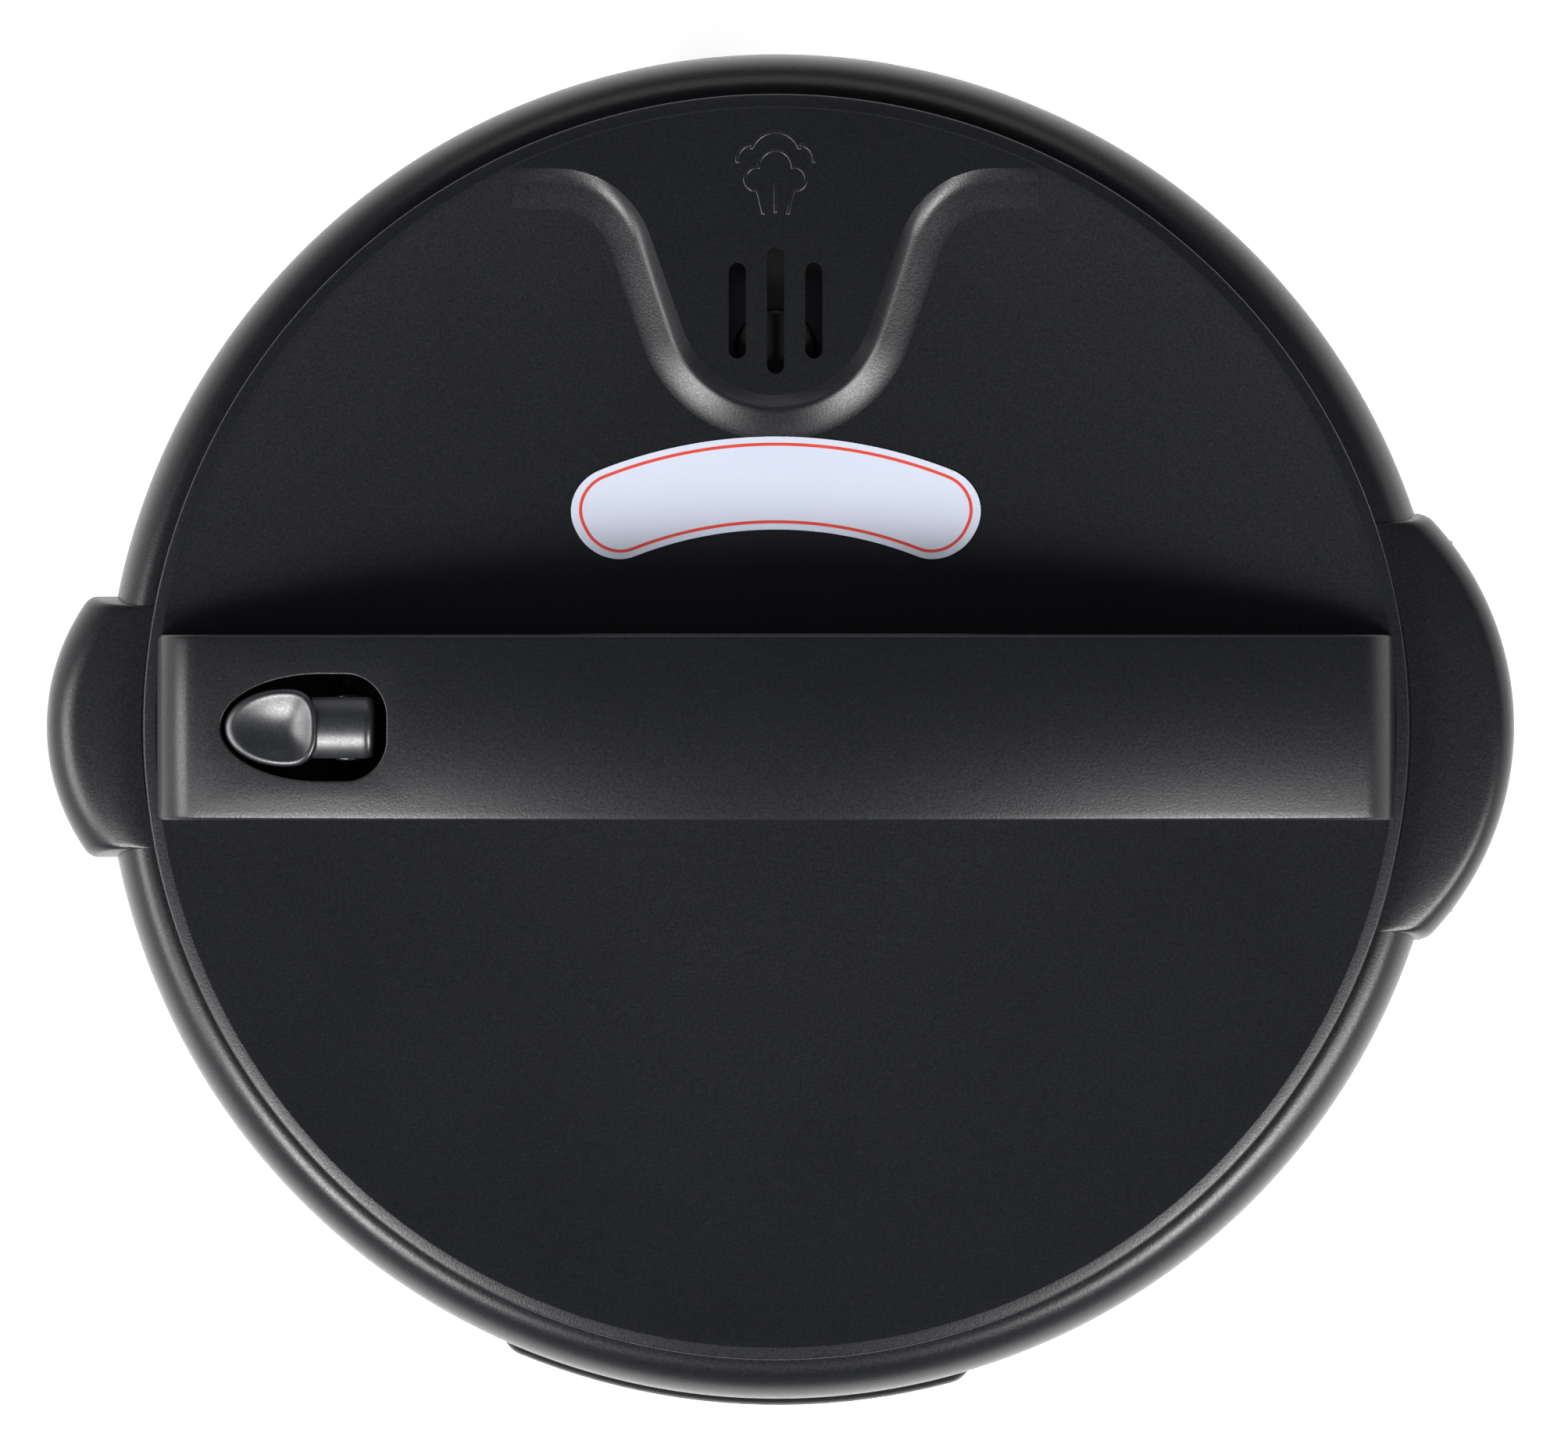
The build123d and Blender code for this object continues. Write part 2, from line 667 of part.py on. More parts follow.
def largest(shape):
    """The biggest solid of a cut."""
    return sorted(shape.solids(), key=lambda solid: solid.volume)[-1]


# ---- Pots and heating ----------------------------------------------------------------------------
def outer_pot():
    """Outer pot with a flanged rim and the bayonet teeth that the lid turns under."""
    pot = turned(
        (0, outer_pot_low), (outer_pot_outside, outer_pot_low, 8), (outer_pot_outside, pot_rim_low, pot_bend),
        (flange_radius, pot_rim_low), (flange_radius, pot_rim), (outer_pot_radius, pot_rim, 1.5),
        (outer_pot_radius, outer_pot_floor, 6.5), (0, outer_pot_floor),
    )
    for angle in tooth_angles:
        span = (angle - tooth_arc / 2, angle + tooth_arc / 2)
        pot += sector((flange_radius - 1, tooth_radius), span, (pot_rim_low, pot_rim))
    pot -= rod(sensor_hole_radius, outer_pot_low, outer_pot_floor)
    for at in terminal_places():
        pot -= rod(terminal_radius + 1.5, outer_pot_low, outer_pot_floor, at)
    return pot


def inner_pot():
    """Removable cooking pot with a thick encapsulated floor and a rolled lip."""
    lip_low = inner_lip_top - inner_pot_wall
    return turned(
        (0, plate_top), (inner_pot_outside, plate_top, 10), (inner_pot_outside, lip_low, 1.2),
        (inner_lip_radius, lip_low), (inner_lip_radius, inner_lip_top),
        (inner_pot_radius, inner_lip_top, 2.2),
        (inner_pot_radius, inner_floor, 9), (0, inner_floor),
    )


def terminal_places():
    """Plan positions of the heater's two terminals."""
    return [polar(element_ring_radius, angle) for angle in about(270, element_gap_angle)]


def heating_plate():
    """Cast aluminium plate with a groove for the heater and a hole for the temperature sensor."""
    plate = turned(
        (sensor_hole_radius, plate_low), (plate_radius, plate_low, 2), (plate_radius, plate_top, 2),
        (sensor_hole_radius, plate_top, 1),
    )
    middle = plate_low + element_rise
    plate -= Pos(0, 0, middle) * Torus(element_ring_radius, element_radius + seat_gap)
    for at in terminal_places():
        plate -= rod(terminal_radius + seat_gap, plate_low, middle, at)
    for angle in plate_leg_angles:
        at = polar(plate_radius - plate_leg_inset, angle)
        plate += rod(plate_leg_radius, outer_pot_floor, plate_low + 1, at)
    return plate


def heater_element():
    """Tubular heater set half into the plate, with its terminals through the pot's floor."""
    middle = plate_low + element_rise
    ring = Plane.XZ * Pos(element_ring_radius, middle) * Circle(element_radius)
    arc = revolve(ring, Axis.Z, revolution_arc=360 - element_gap_angle)
    element = Rot(0, 0, 270 + element_gap_angle / 2) * arc
    for at in terminal_places():
        element += rod(terminal_radius, middle - terminal_length, middle, at)
    return element


def sensor_bracket():
    """Cup under the outer pot that guides the temperature sensor and carries its spring."""
    inside = sensor_radius + body_gap
    outside = inside + sensor_bracket_wall
    low = outer_pot_low - sensor_bracket_depth
    flange_low = outer_pot_low - sensor_flange[1]
    flange_far = outside + sensor_flange[0]
    return turned(
        (3, low), (outside, low, 1), (outside, flange_low), (flange_far, flange_low),
        (flange_far, outer_pot_low), (inside, outer_pot_low), (inside, low + sensor_bracket_wall),
        (3, low + sensor_bracket_wall),
    )


def sensor_cap():
    """Aluminium cap that touches the pot's floor from below."""
    top = plate_top - body_gap
    return turned(
        (0, top - sensor_wall), (sensor_radius - sensor_wall, top - sensor_wall),
        (sensor_radius - sensor_wall, top - sensor_length), (sensor_radius, top - sensor_length),
        (sensor_radius, top, 1.2), (0, top),
    )


def sensor_spring():
    """Spring that keeps the temperature sensor against the pot."""
    low = outer_pot_low - sensor_bracket_depth + sensor_bracket_wall
    high = plate_top - body_gap - sensor_wall
    radius = sensor_radius - sensor_wall - sensor_spring_wire - body_gap
    return coil(radius, sensor_spring_wire, low + seat_gap, high - seat_gap, sensor_spring_turns)


def pressure_switch():
    """Switch under the outer pot that answers to its flexing floor."""
    width, depth, height = switch_size
    strap_width, strap_depth, strap_height = switch_strap
    strap_low = outer_pot_low - strap_height
    body = block(about(0, width), about(switch_y, depth), (strap_low - height, strap_low))
    return body + block(about(0, strap_width), about(switch_y, strap_depth), (strap_low, outer_pot_low))


def power_board():
    """Power circuit board, flat above the bottom cover."""
    width, depth = power_board_size
    low = bottom_cover_top + board_post_height
    board = block(about(0, width), about(power_board_y, depth), (low, low + board_thickness))
    for at in board_post_places():
        board -= rod(small_screw_hole, low, low + board_thickness, at)
    return board


def board_post_places():
    """Plan positions of the power board's posts."""
    x = power_board_size[0] / 2 - 6
    y = power_board_size[1] / 2 - 6
    return [(i * x, power_board_y + j * y) for i in (-1, 1) for j in (-1, 1)]


def board_posts():
    """Stand-offs between the bottom cover and the power board, with snap tips."""
    low = bottom_cover_top + board_post_height
    return [
        rod(board_post_radius, bottom_cover_top, low, at) + rod(small_screw_radius, low, low + 3, at)
        for at in board_post_places()
    ]


def board_relay():
    """Relay that switches the heater."""
    low = bottom_cover_top + board_post_height + board_thickness
    body = block((20, 40), (power_board_y - 20, power_board_y - 5), (low, low + 15))
    return fillet(body.edges().filter_by(Axis.Z), 1)


def board_transformer():
    """Small mains transformer, core and winding."""
    low = bottom_cover_top + board_post_height + board_thickness
    core = block((-38, -12), (power_board_y - 14, power_board_y + 8), (low, low + 22))
    return core + block((-43, -7), (power_board_y - 10, power_board_y + 4), (low + 3, low + 19))


def inlet_socket():
    """Appliance inlet at the rear: a flanged socket with a recess for the plug of a supply cord."""
    z_span = (socket_centre_z - socket_half_height, socket_centre_z + socket_half_height)
    x_span = (-socket_half_width, socket_half_width)
    body = block(x_span, (housing_radius - socket_depth, housing_radius + 0.5), z_span)
    grow = socket_flange
    flange = block(
        (x_span[0] - grow, x_span[1] + grow), (housing_radius - 4, housing_radius + socket_flange_thickness),
        (z_span[0] - grow, z_span[1] + grow),
    )
    flange = fillet(flange.edges().filter_by(Axis.Y), 2)
    flange -= rod(housing_radius + seat_gap, z_span[0] - grow - 1, z_span[1] + grow + 1)
    half_width, half_height, depth = socket_cavity
    mouth = housing_radius + socket_flange_thickness
    recess = block(
        (-half_width, half_width), (mouth - depth, mouth),
        (socket_centre_z - half_height, socket_centre_z + half_height),
    )
    recess = chamfer(recess.edges().filter_by(Axis.Y).group_by(Axis.Z)[-1], 4)
    socket = body + flange - recess
    for x, z in inlet_pin_places():
        socket -= block((x - 1.1, x + 1.1), (housing_radius - socket_depth - 1, mouth), (z - 2.1, z + 2.1))
    return socket


def inlet_pin_places():
    """X and Z of the inlet's three blades."""
    low = socket_centre_z - 2
    high = socket_centre_z + 2
    return ((-inlet_pin_pitch, low), (inlet_pin_pitch, low), (0, high))


def inlet_pins():
    """Brass blades of the inlet, with tails for the leads."""
    mouth = housing_radius + socket_flange_thickness
    y_span = (mouth - socket_depth - 7, mouth - 5)
    return [block((x - 1, x + 1), y_span, (z - 2, z + 2)) for x, z in inlet_pin_places()]


# ---- Control panel at the front ------------------------------------------------------------------
def panel_plan(near, far, half_angle, rounding):
    """Plan of the control panel facing -Y, with rounded outer ends."""
    edge = 1.3 * far
    across = edge * sin(radians(half_angle))
    ahead = edge * cos(radians(half_angle))
    wedge = Polygon((0, 0), (-across, -ahead), (0, -1.4 * edge), (across, -ahead), align=None)
    plan = (Circle(far) - Circle(near)) & wedge
    outer = plan.vertices().sort_by(Axis.Y)[:2]
    return fillet(outer, rounding) if rounding else plan


def panel_housing():
    """Moulded housing of the control panel, open towards the shell."""
    high = panel_low + panel_height
    plan = panel_plan(shell_radius + seat_gap, panel_radius, panel_half_angle, panel_end_round)
    body = Pos(0, 0, panel_low) * extrude(plan, panel_height)
    outer = body.edges().group_by(Axis.Z)[-1] + body.edges().group_by(Axis.Z)[0]
    outer = [edge for edge in outer if hypot((edge @ 0.5).X, (edge @ 0.5).Y) > panel_radius - 4]
    body = fillet(outer, panel_edge_round)
    inner_angle = panel_half_angle - degrees(panel_wall / panel_radius)
    inner = panel_plan(shell_radius - 1, panel_radius - panel_wall, inner_angle, panel_end_round - panel_wall)
    body -= Pos(0, 0, panel_low + panel_wall) * extrude(inner, panel_height - 2 * panel_wall)
    recess = panel_sheet(panel_radius - face_thickness, panel_radius + 2, face_half_angle, face_span())
    body -= recess
    body -= panel_sheet(panel_radius - 6, panel_radius + 2, window_half_angle + 0.1, window_span(0.15))
    for angle, height in key_places():
        body -= radial_rod(key_radius + body_gap, panel_radius - 6, panel_radius + 2, angle, height)
    for angle, height in shell_screw_places()[:4]:
        boss = radial_rod(3.5, shell_radius + 0.5, panel_radius - 1.5, angle - panel_turn, height)
        body += boss
        body -= radial_rod(small_screw_hole, shell_radius - 1, shell_radius + 7.2, angle - panel_turn, height)
    return Rot(0, 0, panel_turn) * largest(body)


def panel_sheet(near, far, half_angle, z_span):
    """Curved sheet of the panel, facing -Y."""
    return sector((near, far), (270 - half_angle, 270 + half_angle), z_span)


def face_span():
    """Height span of the glossy panel face."""
    return (panel_low + panel_margin - 2, panel_low + panel_height - panel_margin + 2)


def window_span(extra):
    """Height span of the display window."""
    high = panel_low + panel_height - window_drop
    return (high - window_height - extra, high + extra)


def key_places():
    """Angle and height of the six keys, in the panel's own frame."""
    low = face_span()[0] + key_low_margin
    high = window_span(0)[0] - key_high_margin
    rows = (low, (low + high) / 2, high)
    return [(270 + side * key_angle, row) for row in rows for side in (-1, 1)]


def panel_face():
    """Glossy sheet set into the panel housing."""
    low, high = face_span()
    span = (low + seat_gap, high - seat_gap)
    face = panel_sheet(panel_radius - face_thickness, panel_radius, face_half_angle - 0.05, span)
    face -= panel_sheet(panel_radius - 6, panel_radius + 2, window_half_angle + 0.1, window_span(0.15))
    for angle, height in key_places():
        face -= radial_rod(key_radius + body_gap, panel_radius - 6, panel_radius + 2, angle, height)
    return Rot(0, 0, panel_turn) * face


def display_window():
    """Clear window in front of the display."""
    window = panel_sheet(panel_radius - panel_wall, panel_radius, window_half_angle, window_span(0))
    return Rot(0, 0, panel_turn) * window


def board_back():
    """Distance of the control board's back from the axis."""
    return shell_radius + shell_wall


def display_module():
    """Display unit on the control board."""
    low, high = window_span(-1)
    near = board_back() + board_thickness
    far = sqrt((panel_radius - panel_wall - display_gap) ** 2 - display_half_width ** 2)
    unit = block(about(0, 2 * display_half_width), (-far, -near), (low, high))
    return Rot(0, 0, panel_turn) * unit


def control_board():
    """Control circuit board with a tactile switch behind each key."""
    low, high = panel_low + board_margin, panel_low + panel_height - board_margin
    front = -(board_back() + board_thickness)
    board = block((-board_half_width, board_half_width), (front, -board_back()), (low + 6, high - 6))
    for angle, height in key_places():
        x = polar(panel_radius, angle)[0] * (board_back() + 2) / panel_radius
        board += block((x - 3, x + 3), (front - 1.2, front), (height - 3, height + 3))
    return Rot(0, 0, panel_turn) * board


def panel_key(place):
    """One key: a dished cap, a retaining flange behind the panel wall and a plunger."""
    angle, height = key_places()[place]
    face = panel_radius + key_proud
    cap = radial_rod(key_radius, panel_radius - panel_wall - 3 * body_gap, face, angle, height)
    cap = fillet(cap.edges().sort_by_distance(polar3(face, angle, height))[0], 0.5)
    flange_far = panel_radius - panel_wall - 2 * body_gap
    flange = radial_rod(key_radius + key_flange, flange_far - key_flange_thickness, flange_far, angle, height)
    plunger = radial_rod(1.5, key_plunger_end(), flange_far, angle, height)
    return Rot(0, 0, panel_turn) * (cap + flange + plunger)


def key_plunger_end():
    """Radius at which a key's plunger stops, just short of its switch when pressed."""
    front = board_back() + board_thickness + 1.2
    return front / cos(radians(key_angle)) + key_travel + body_gap + 0.3


def polar3(radius, angle, height):
    """Point at a radius, an angle and a height."""
    return (*polar(radius, angle), height)


# ---- Condensate cup at the rear ------------------------------------------------------------------
def collector_bracket():
    """Plate on the shell with a rail at each side that holds the condensate cup."""
    near = shell_radius + seat_gap
    far = near + rail_thickness
    z_span = (collector_low, collector_low + cup_height + collector_lip)
    bracket = sector((near, far), (90 - rail_half_angle, 90 + rail_half_angle), z_span)
    lip_near = far + 2 * body_gap + cup_flange_thickness
    lip_angle = cup_half_angle + degrees(body_gap / shell_radius)
    for side in (-1, 1):
        outer = sorted((90 + side * (rail_half_angle - 0.6), 90 + side * rail_half_angle))
        bracket += sector((near, lip_near + rail_thickness), outer, z_span)
        lip = sorted((90 + side * lip_angle, 90 + side * rail_half_angle))
        bracket += sector((lip_near, lip_near + rail_thickness), lip, z_span)
    for angle, height in shell_screw_places()[4:]:
        bracket -= radial_rod(small_screw_hole, shell_radius - 1, far + 1, angle, height)
    return bracket


def cup_radii():
    """Back and front radius of the condensate cup."""
    near = shell_radius + seat_gap + rail_thickness + body_gap
    return near, near + cup_depth


def condensate_cup():
    """Clear cup that catches the moat's drips; it slides down off its rails."""
    near, far = cup_radii()
    low, high = collector_low + 1, collector_low + cup_height
    cup = sector((near, far), (90 - cup_half_angle, 90 + cup_half_angle), (low, high))
    upright = cup.edges().filter_by(Axis.Z)
    outer = [edge for edge in upright if hypot((edge @ 0.5).X, (edge @ 0.5).Y) > far - 1]
    cup = fillet(outer, 3)
    inner_angle = cup_half_angle - degrees(cup_wall / near)
    inner_radii = (near + cup_wall, far - cup_wall)
    cup -= sector(inner_radii, (90 - inner_angle, 90 + inner_angle), (low + cup_wall, high))
    for side in (-1, 1):
        span = sorted((90 + side * (cup_half_angle - 0.4), 90 + side * (cup_half_angle + cup_flange_angle)))
        cup += sector((near, near + cup_flange_thickness), span, (low, high))
    return cup


# ---- Lid: cover, vent tongue and handle ----------------------------------------------------------
def dish_face(lift, radius, low):
    """Half section below the dish's surface, raised by lift, out to the rim, down to a level."""
    curve = TangentArc((dish_flat_radius, dish_low + lift), (radius, dish_rim + lift), tangent=(1, 0))
    flat = Polyline((0, dish_low + lift), (dish_flat_radius, dish_low + lift))
    rest = Polyline((radius, dish_rim + lift), (radius, low), (0, low), (0, dish_low + lift))
    return make_face(Curve() + [flat, curve, rest])


def dish_block(lift):
    """Solid of all that lies below the dish's surface."""
    return revolve(Plane.XZ * dish_face(lift, dish_radius, lid_plate_top), Axis.Z)


def tongue_face(spread):
    """Plan of the vent tongue, grown outward by spread, out past the rim."""
    lean = radians(tongue_side_angle)
    flare_y = flare_top_y - flare_radius
    flare_x = (tongue_radius + flare_radius + sin(lean) * (flare_y - tongue_centre_y)) / cos(lean)
    round_end = tongue_radius + spread
    flare = flare_radius - spread
    side_low = (round_end * cos(lean), tongue_centre_y - round_end * sin(lean))
    side_high = (flare_x - flare * cos(lean), flare_y + flare * sin(lean))
    far_y = flare_y + flare
    flare_end = (flare_x, far_y)
    beyond = dish_radius + 9
    turn = degrees(lean)
    outline = Curve() + [
        CenterArc((0, tongue_centre_y), round_end, 180 + turn, 180 - 2 * turn),
        Line(side_low, side_high),
        CenterArc((flare_x, flare_y), flare, 90, 90 - turn),
        Polyline(
            flare_end, (beyond, far_y), (beyond, beyond), (-beyond, beyond), (-beyond, far_y),
            (-flare_x, far_y),
        ),
        CenterArc((-flare_x, flare_y), flare, turn, 90 - turn),
        Line((-side_high[0], side_high[1]), (-side_low[0], side_low[1])),
    ]
    return make_face(outline)


def tongue_block(inset, radius):
    """Raised floor of the tongue with sloped sides, lowered and narrowed by a wall."""
    top = dish_rim - inset
    drop = dish_depth + 1.0
    upper = Pos(0, 0, top) * tongue_face(-inset * 0.6)
    lower = Pos(0, 0, top - drop) * tongue_face(drop * tongue_slope - inset * 0.6)
    return loft([lower.face(), upper.face()], ruled=True) & rod(radius, top - drop - 1, top + 1)


def vent_slots():
    """Cutters for the three vent slots."""
    slots = []
    for index, length in enumerate(slot_lengths):
        at = Pos((index - 1) * slot_pitch, slot_middle_y, dish_rim - cover_wall - 1)
        slots.append(at * extrude(SlotOverall(length, slot_width, rotation=90), cover_wall + 2))
    return slots


def lid_cover():
    """Moulded lid cover: dished top, bevelled edge, raised vent tongue, bosses on the lid plate."""
    inside = lid_radius - cover_wall
    edge_top = lid_edge_low + lid_edge_height
    rim_corners = (
        (dish_radius - 1.5, dish_rim - 0.6), (dish_radius, dish_rim, 0.8), (lid_radius, edge_top, 1.2),
        (lid_radius, lid_edge_low, 0.6), (inside, lid_edge_low), (inside, edge_top - 0.8),
        (dish_radius - 1.5, dish_rim - cover_wall),
    )
    cover = revolve(Plane.XZ * dish_face(0, dish_radius, lid_plate_top), Axis.Z)
    cover -= revolve(Plane.XZ * dish_face(-cover_wall, dish_radius + 2, lid_plate_top - 1), Axis.Z)
    cover += turned(*rim_corners)
    cover += tongue_block(0, dish_radius - 0.2) - dish_block(-cover_wall / 2)
    below = rod(lid_radius, 0, dish_low - 2 * cover_wall)
    cover -= tongue_block(cover_wall, dish_radius - cover_wall - 2) - below
    for slot in vent_slots():
        cover -= slot
    for at in stud_places:
        cover += rod(5.5, lid_plate_top, dish_low - 1, at)
        cover -= rod(stud_radius + seat_gap, lid_plate_top, dish_low + 1, at)
    for at in handle_screw_places:
        cover += rod(5, handle_pad_low(), dish_low, at)
        cover -= rod(screw_hole, handle_pad_low() - 1, dish_rim, at)
    cover += rod(5, spring_seat_top() - cover_wall, spring_seat_top(), (button_spring_x, 0))
    reach = button_tail_radius + 1
    swing = (button_pivot_z() - dish_low) * sin(radians(button_press)) + 1
    x_span = (button_tail_x - reach, button_tail_x + reach + swing)
    return cover - block(x_span, (-reach, reach), (dish_low - 3, dish_rim))


def handle_pad_low():
    """Underside of the flat pad for a handle screw's head."""
    return dish_low - cover_wall - 0.6


def spring_seat_top():
    """Top of the boss that the button's spring stands on."""
    return dish_rim - spring_seat_drop


def label():
    """Thin blank label that follows the dish between the tongue and the handle."""
    near, far = label_radii
    plan = sector((near, far), (90 - label_half_angle, 90 + label_half_angle), (dish_low, dish_rim + 4))
    plan = fillet(plan.edges().filter_by(Axis.Z), (far - near) * 0.42)
    sheet = dish_block(seat_gap / 2 + label_thickness) - dish_block(seat_gap / 2)
    return largest(sheet & (Pos(0, label_centre_y, 0) * plan))


def arch_radius(inset):
    """Radius of the bar's arch along X."""
    rise = handle_rise - handle_end_rise
    half = bar_half_length - bar_end_round
    return (half ** 2 + rise ** 2) / (2 * rise) - inset


def bar_height(x):
    """Height of the bar's surface above the table, on its middle line."""
    radius = arch_radius(0)
    return bar_crest - radius + sqrt(radius ** 2 - x ** 2)


def bar_form(inset):
    """Arched and crowned bar, inset by a wall: its section swung along the arch, with rounded ends."""
    half = bar_half_length - inset
    half_width = bar_half_width - inset
    top = bar_crest - inset
    radius = arch_radius(inset)
    arch_centre = Pos(0, 0, top - radius)
    wide = half_width + bar_edge_trim
    crown = ThreePointArc((wide, -bar_crown), (0, 0), (-wide, -bar_crown))
    sides = Polyline(crown @ 1, (-wide, -1.5 * handle_rise), (wide, -1.5 * handle_rise), crown @ 0)
    section = make_face(Curve() + [crown, sides])
    section = fillet(section.vertices().sort_by(Axis.Y)[-2:], max(bar_edge_round - inset, 0.3))
    swing = 2 * degrees(asin(half / radius)) + 2
    bar = revolve(Plane.YZ * Pos(0, radius) * section, Axis.Y, revolution_arc=swing)
    bar = arch_centre * Rot(0, -swing / 2, 0) * bar
    end_z = bar_height(bar_half_length - bar_end_round) - inset
    ends = profile(
        (-half, dish_low - 10), (half, dish_low - 10), (half, end_z, bar_end_round - inset),
        (half - 2 * bar_end_round, end_z + bar_end_round * 0.5), (half - 2 * bar_end_round, top + 5),
        (2 * bar_end_round - half, top + 5), (2 * bar_end_round - half, end_z + bar_end_round * 0.5),
        (-half, end_z, bar_end_round - inset),
    )
    plan = RectangleRounded(2 * half, 2 * half_width, max(bar_corner - inset, 1.5))
    prism = Pos(0, 0, dish_low - 10) * extrude(plan, handle_rise + 20)
    return bar & prism & extrude(Plane.XZ * ends, 2 * bar_half_width, both=True)


def egg_face(inset, rear_inset=0.0):
    """Plan of the button well, inset all round and further at its blunt end."""
    nose = well_nose - inset
    half = well_half_width - inset
    blunt = well_blunt - inset - rear_inset
    corner = well_corner - inset
    outline = Curve() + [
        EllipticalCenterArc((0, 0), nose, half, 90, arc_size=180),
        Line((0, -half), (blunt - corner, -half)),
        CenterArc((blunt - corner, corner - half), corner, 270, 90),
        Line((blunt, corner - half), (blunt, half - corner)),
        CenterArc((blunt - corner, half - corner), corner, 0, 90),
        Line((blunt - corner, half), (0, half)),
    ]
    return Pos(well_x, 0) * make_face(outline)


def egg_block(inset, z_span, rear_inset=0.0):
    """Prism of the button well."""
    return Pos(0, 0, z_span[0]) * extrude(egg_face(inset, rear_inset), z_span[1] - z_span[0])


def handle_shell():
    """Hollow bar handle on the lid, with the well of the release button and its screw bosses."""
    outside = bar_form(0)
    hollow = bar_form(bar_wall)
    shell = outside - hollow
    skirt_low = bar_height(well_x) - well_skirt_depth
    skirt = egg_block(-well_skirt_wall, (skirt_low, bar_crest)) & hollow
    shell += skirt
    for at in handle_screw_places:
        boss = rod(4.5, dish_low - 1, bar_crest, at) & hollow
        shell += boss
    shell -= egg_block(0, (skirt_low - 1, bar_crest + 5))
    for at in handle_screw_places:
        shell -= rod(screw_hole, dish_low - 2, dish_low + 14, at)
    shell -= button_pin()
    rim = rod(lid_radius, lid_plate_top, dish_rim + seat_gap)
    rim -= rod(dish_radius - 2, lid_plate_top, dish_rim + 1)
    return largest(shell - dish_block(seat_gap) - rim)


def handle_screws():
    """Screws from under the lid cover into the handle's bosses."""
    screws = []
    for at in handle_screw_places:
        seat = handle_pad_low()
        head = rod(screw_head_radius, seat - screw_head_height, seat, at)
        head -= rod(screw_recess, seat - screw_head_height, seat - screw_head_height + screw_recess, at)
        screws.append(head + rod(screw_radius, seat, dish_low + 13, at))
    return screws


# ---- Release button, lever and valve -------------------------------------------------------------
def button_pivot_z():
    """Height of the button's pivot."""
    return bar_height(button_pivot_x) - button_pivot_drop


def button_pin_reach():
    """Half length of the button's pin, into the well's skirt."""
    return well_half_width + well_skirt_wall - 0.2


def lever_top():
    """Upper face of the lever at rest."""
    return lid_plate_top + 7.3


def release_button():
    """Thumb button: scooped pad at the nose, rounded neck behind it, hinge hub and a tail to the lever."""
    low = bar_height(well_x - well_nose) - button_depth
    body = egg_block(button_gap, (low, bar_crest), button_rear_gap)
    body &= bar_form(button_recess)
    neck_from = well_x - well_nose + button_gap + pad_length - 2.5
    neck_top = bar_height(well_x + well_blunt / 2) - 1.2
    neck_side = block((neck_from, 0), (-30, 30), (neck_top - neck_radius, bar_crest + 5))
    neck_round = Pos(0, 0, neck_top - neck_radius) * Rot(0, 90, 0) * Cylinder(neck_radius, 400)
    body -= neck_side - neck_round
    scoop_x = well_x - well_nose + button_gap + pad_length * 0.55
    scoop_z = bar_height(scoop_x) - button_recess - pad_scoop_depth + pad_scoop_radius
    body -= Pos(scoop_x, 0, scoop_z) * Sphere(pad_scoop_radius)
    half_hub = well_half_width - button_gap - 0.6
    hub = cross_rod(hub_radius, button_pivot_x, button_pivot_z(), (-half_hub, half_hub))
    body += hub
    body += rod(button_tail_radius, lever_top() + lever_gap, low + 1, (button_tail_x, 0))
    body -= cross_rod(pin_radius + shaft_gap, button_pivot_x, button_pivot_z(), (-30, 30))
    return largest(body)


def button_pin():
    """Steel pin that the button turns on."""
    reach = button_pin_reach()
    return cross_rod(pin_radius, button_pivot_x, button_pivot_z(), (-reach, reach))


def button_spring():
    """Return spring under the pad."""
    high = bar_height(well_x - well_nose) - button_depth
    low = spring_seat_top()
    z_span = (low + seat_gap, high - seat_gap)
    spring = coil(button_spring_radius, button_spring_wire, *z_span, button_spring_turns)
    return Pos(button_spring_x, 0, 0) * spring


def lever_frame():
    """Location of the lever: its pivot, turned so that local +X points at the valve."""
    pivot_x, pivot_y = button_tail_x / 2, valve_y / 2
    return Pos(pivot_x, pivot_y, lever_top() - lever_thickness / 2) * Rot(0, 0, degrees(lever_heading()))


def lever_heading():
    """Direction of the lever from the button's tail to the valve, in radians."""
    return atan2(valve_y, -button_tail_x)


def lever_arm():
    """Distance from the lever's pivot to each of its ends."""
    return hypot(button_tail_x, valve_y) / 2


def release_lever():
    """Rocking lever between the button's tail and a fork under the pressure valve's weight."""
    arm = lever_arm()
    half = lever_width / 2
    fork_inside = nozzle_radius + 0.9
    fork_outside = fork_inside + 3.2
    beam_end = arm - (fork_inside + fork_outside) / 2
    plan = Pos(-arm, 0) * Circle(5.5) + Pos((beam_end - arm) / 2, 0) * Rectangle(arm + beam_end, lever_width)
    plan += Pos(arm, 0) * Circle(fork_outside)
    plan -= Pos(arm, 0) * Circle(fork_inside)
    plan -= Pos(arm + fork_outside, 0) * Rectangle(2 * fork_outside, 2 * fork_inside)
    lever = extrude(plan, lever_thickness / 2, both=True)
    lever += Rot(90, 0, 0) * Cylinder(hub_radius - 0.2, 2 * half)
    lever -= Rot(90, 0, 0) * Cylinder(pin_radius + shaft_gap, 4 * half)
    return lever_frame() * lever


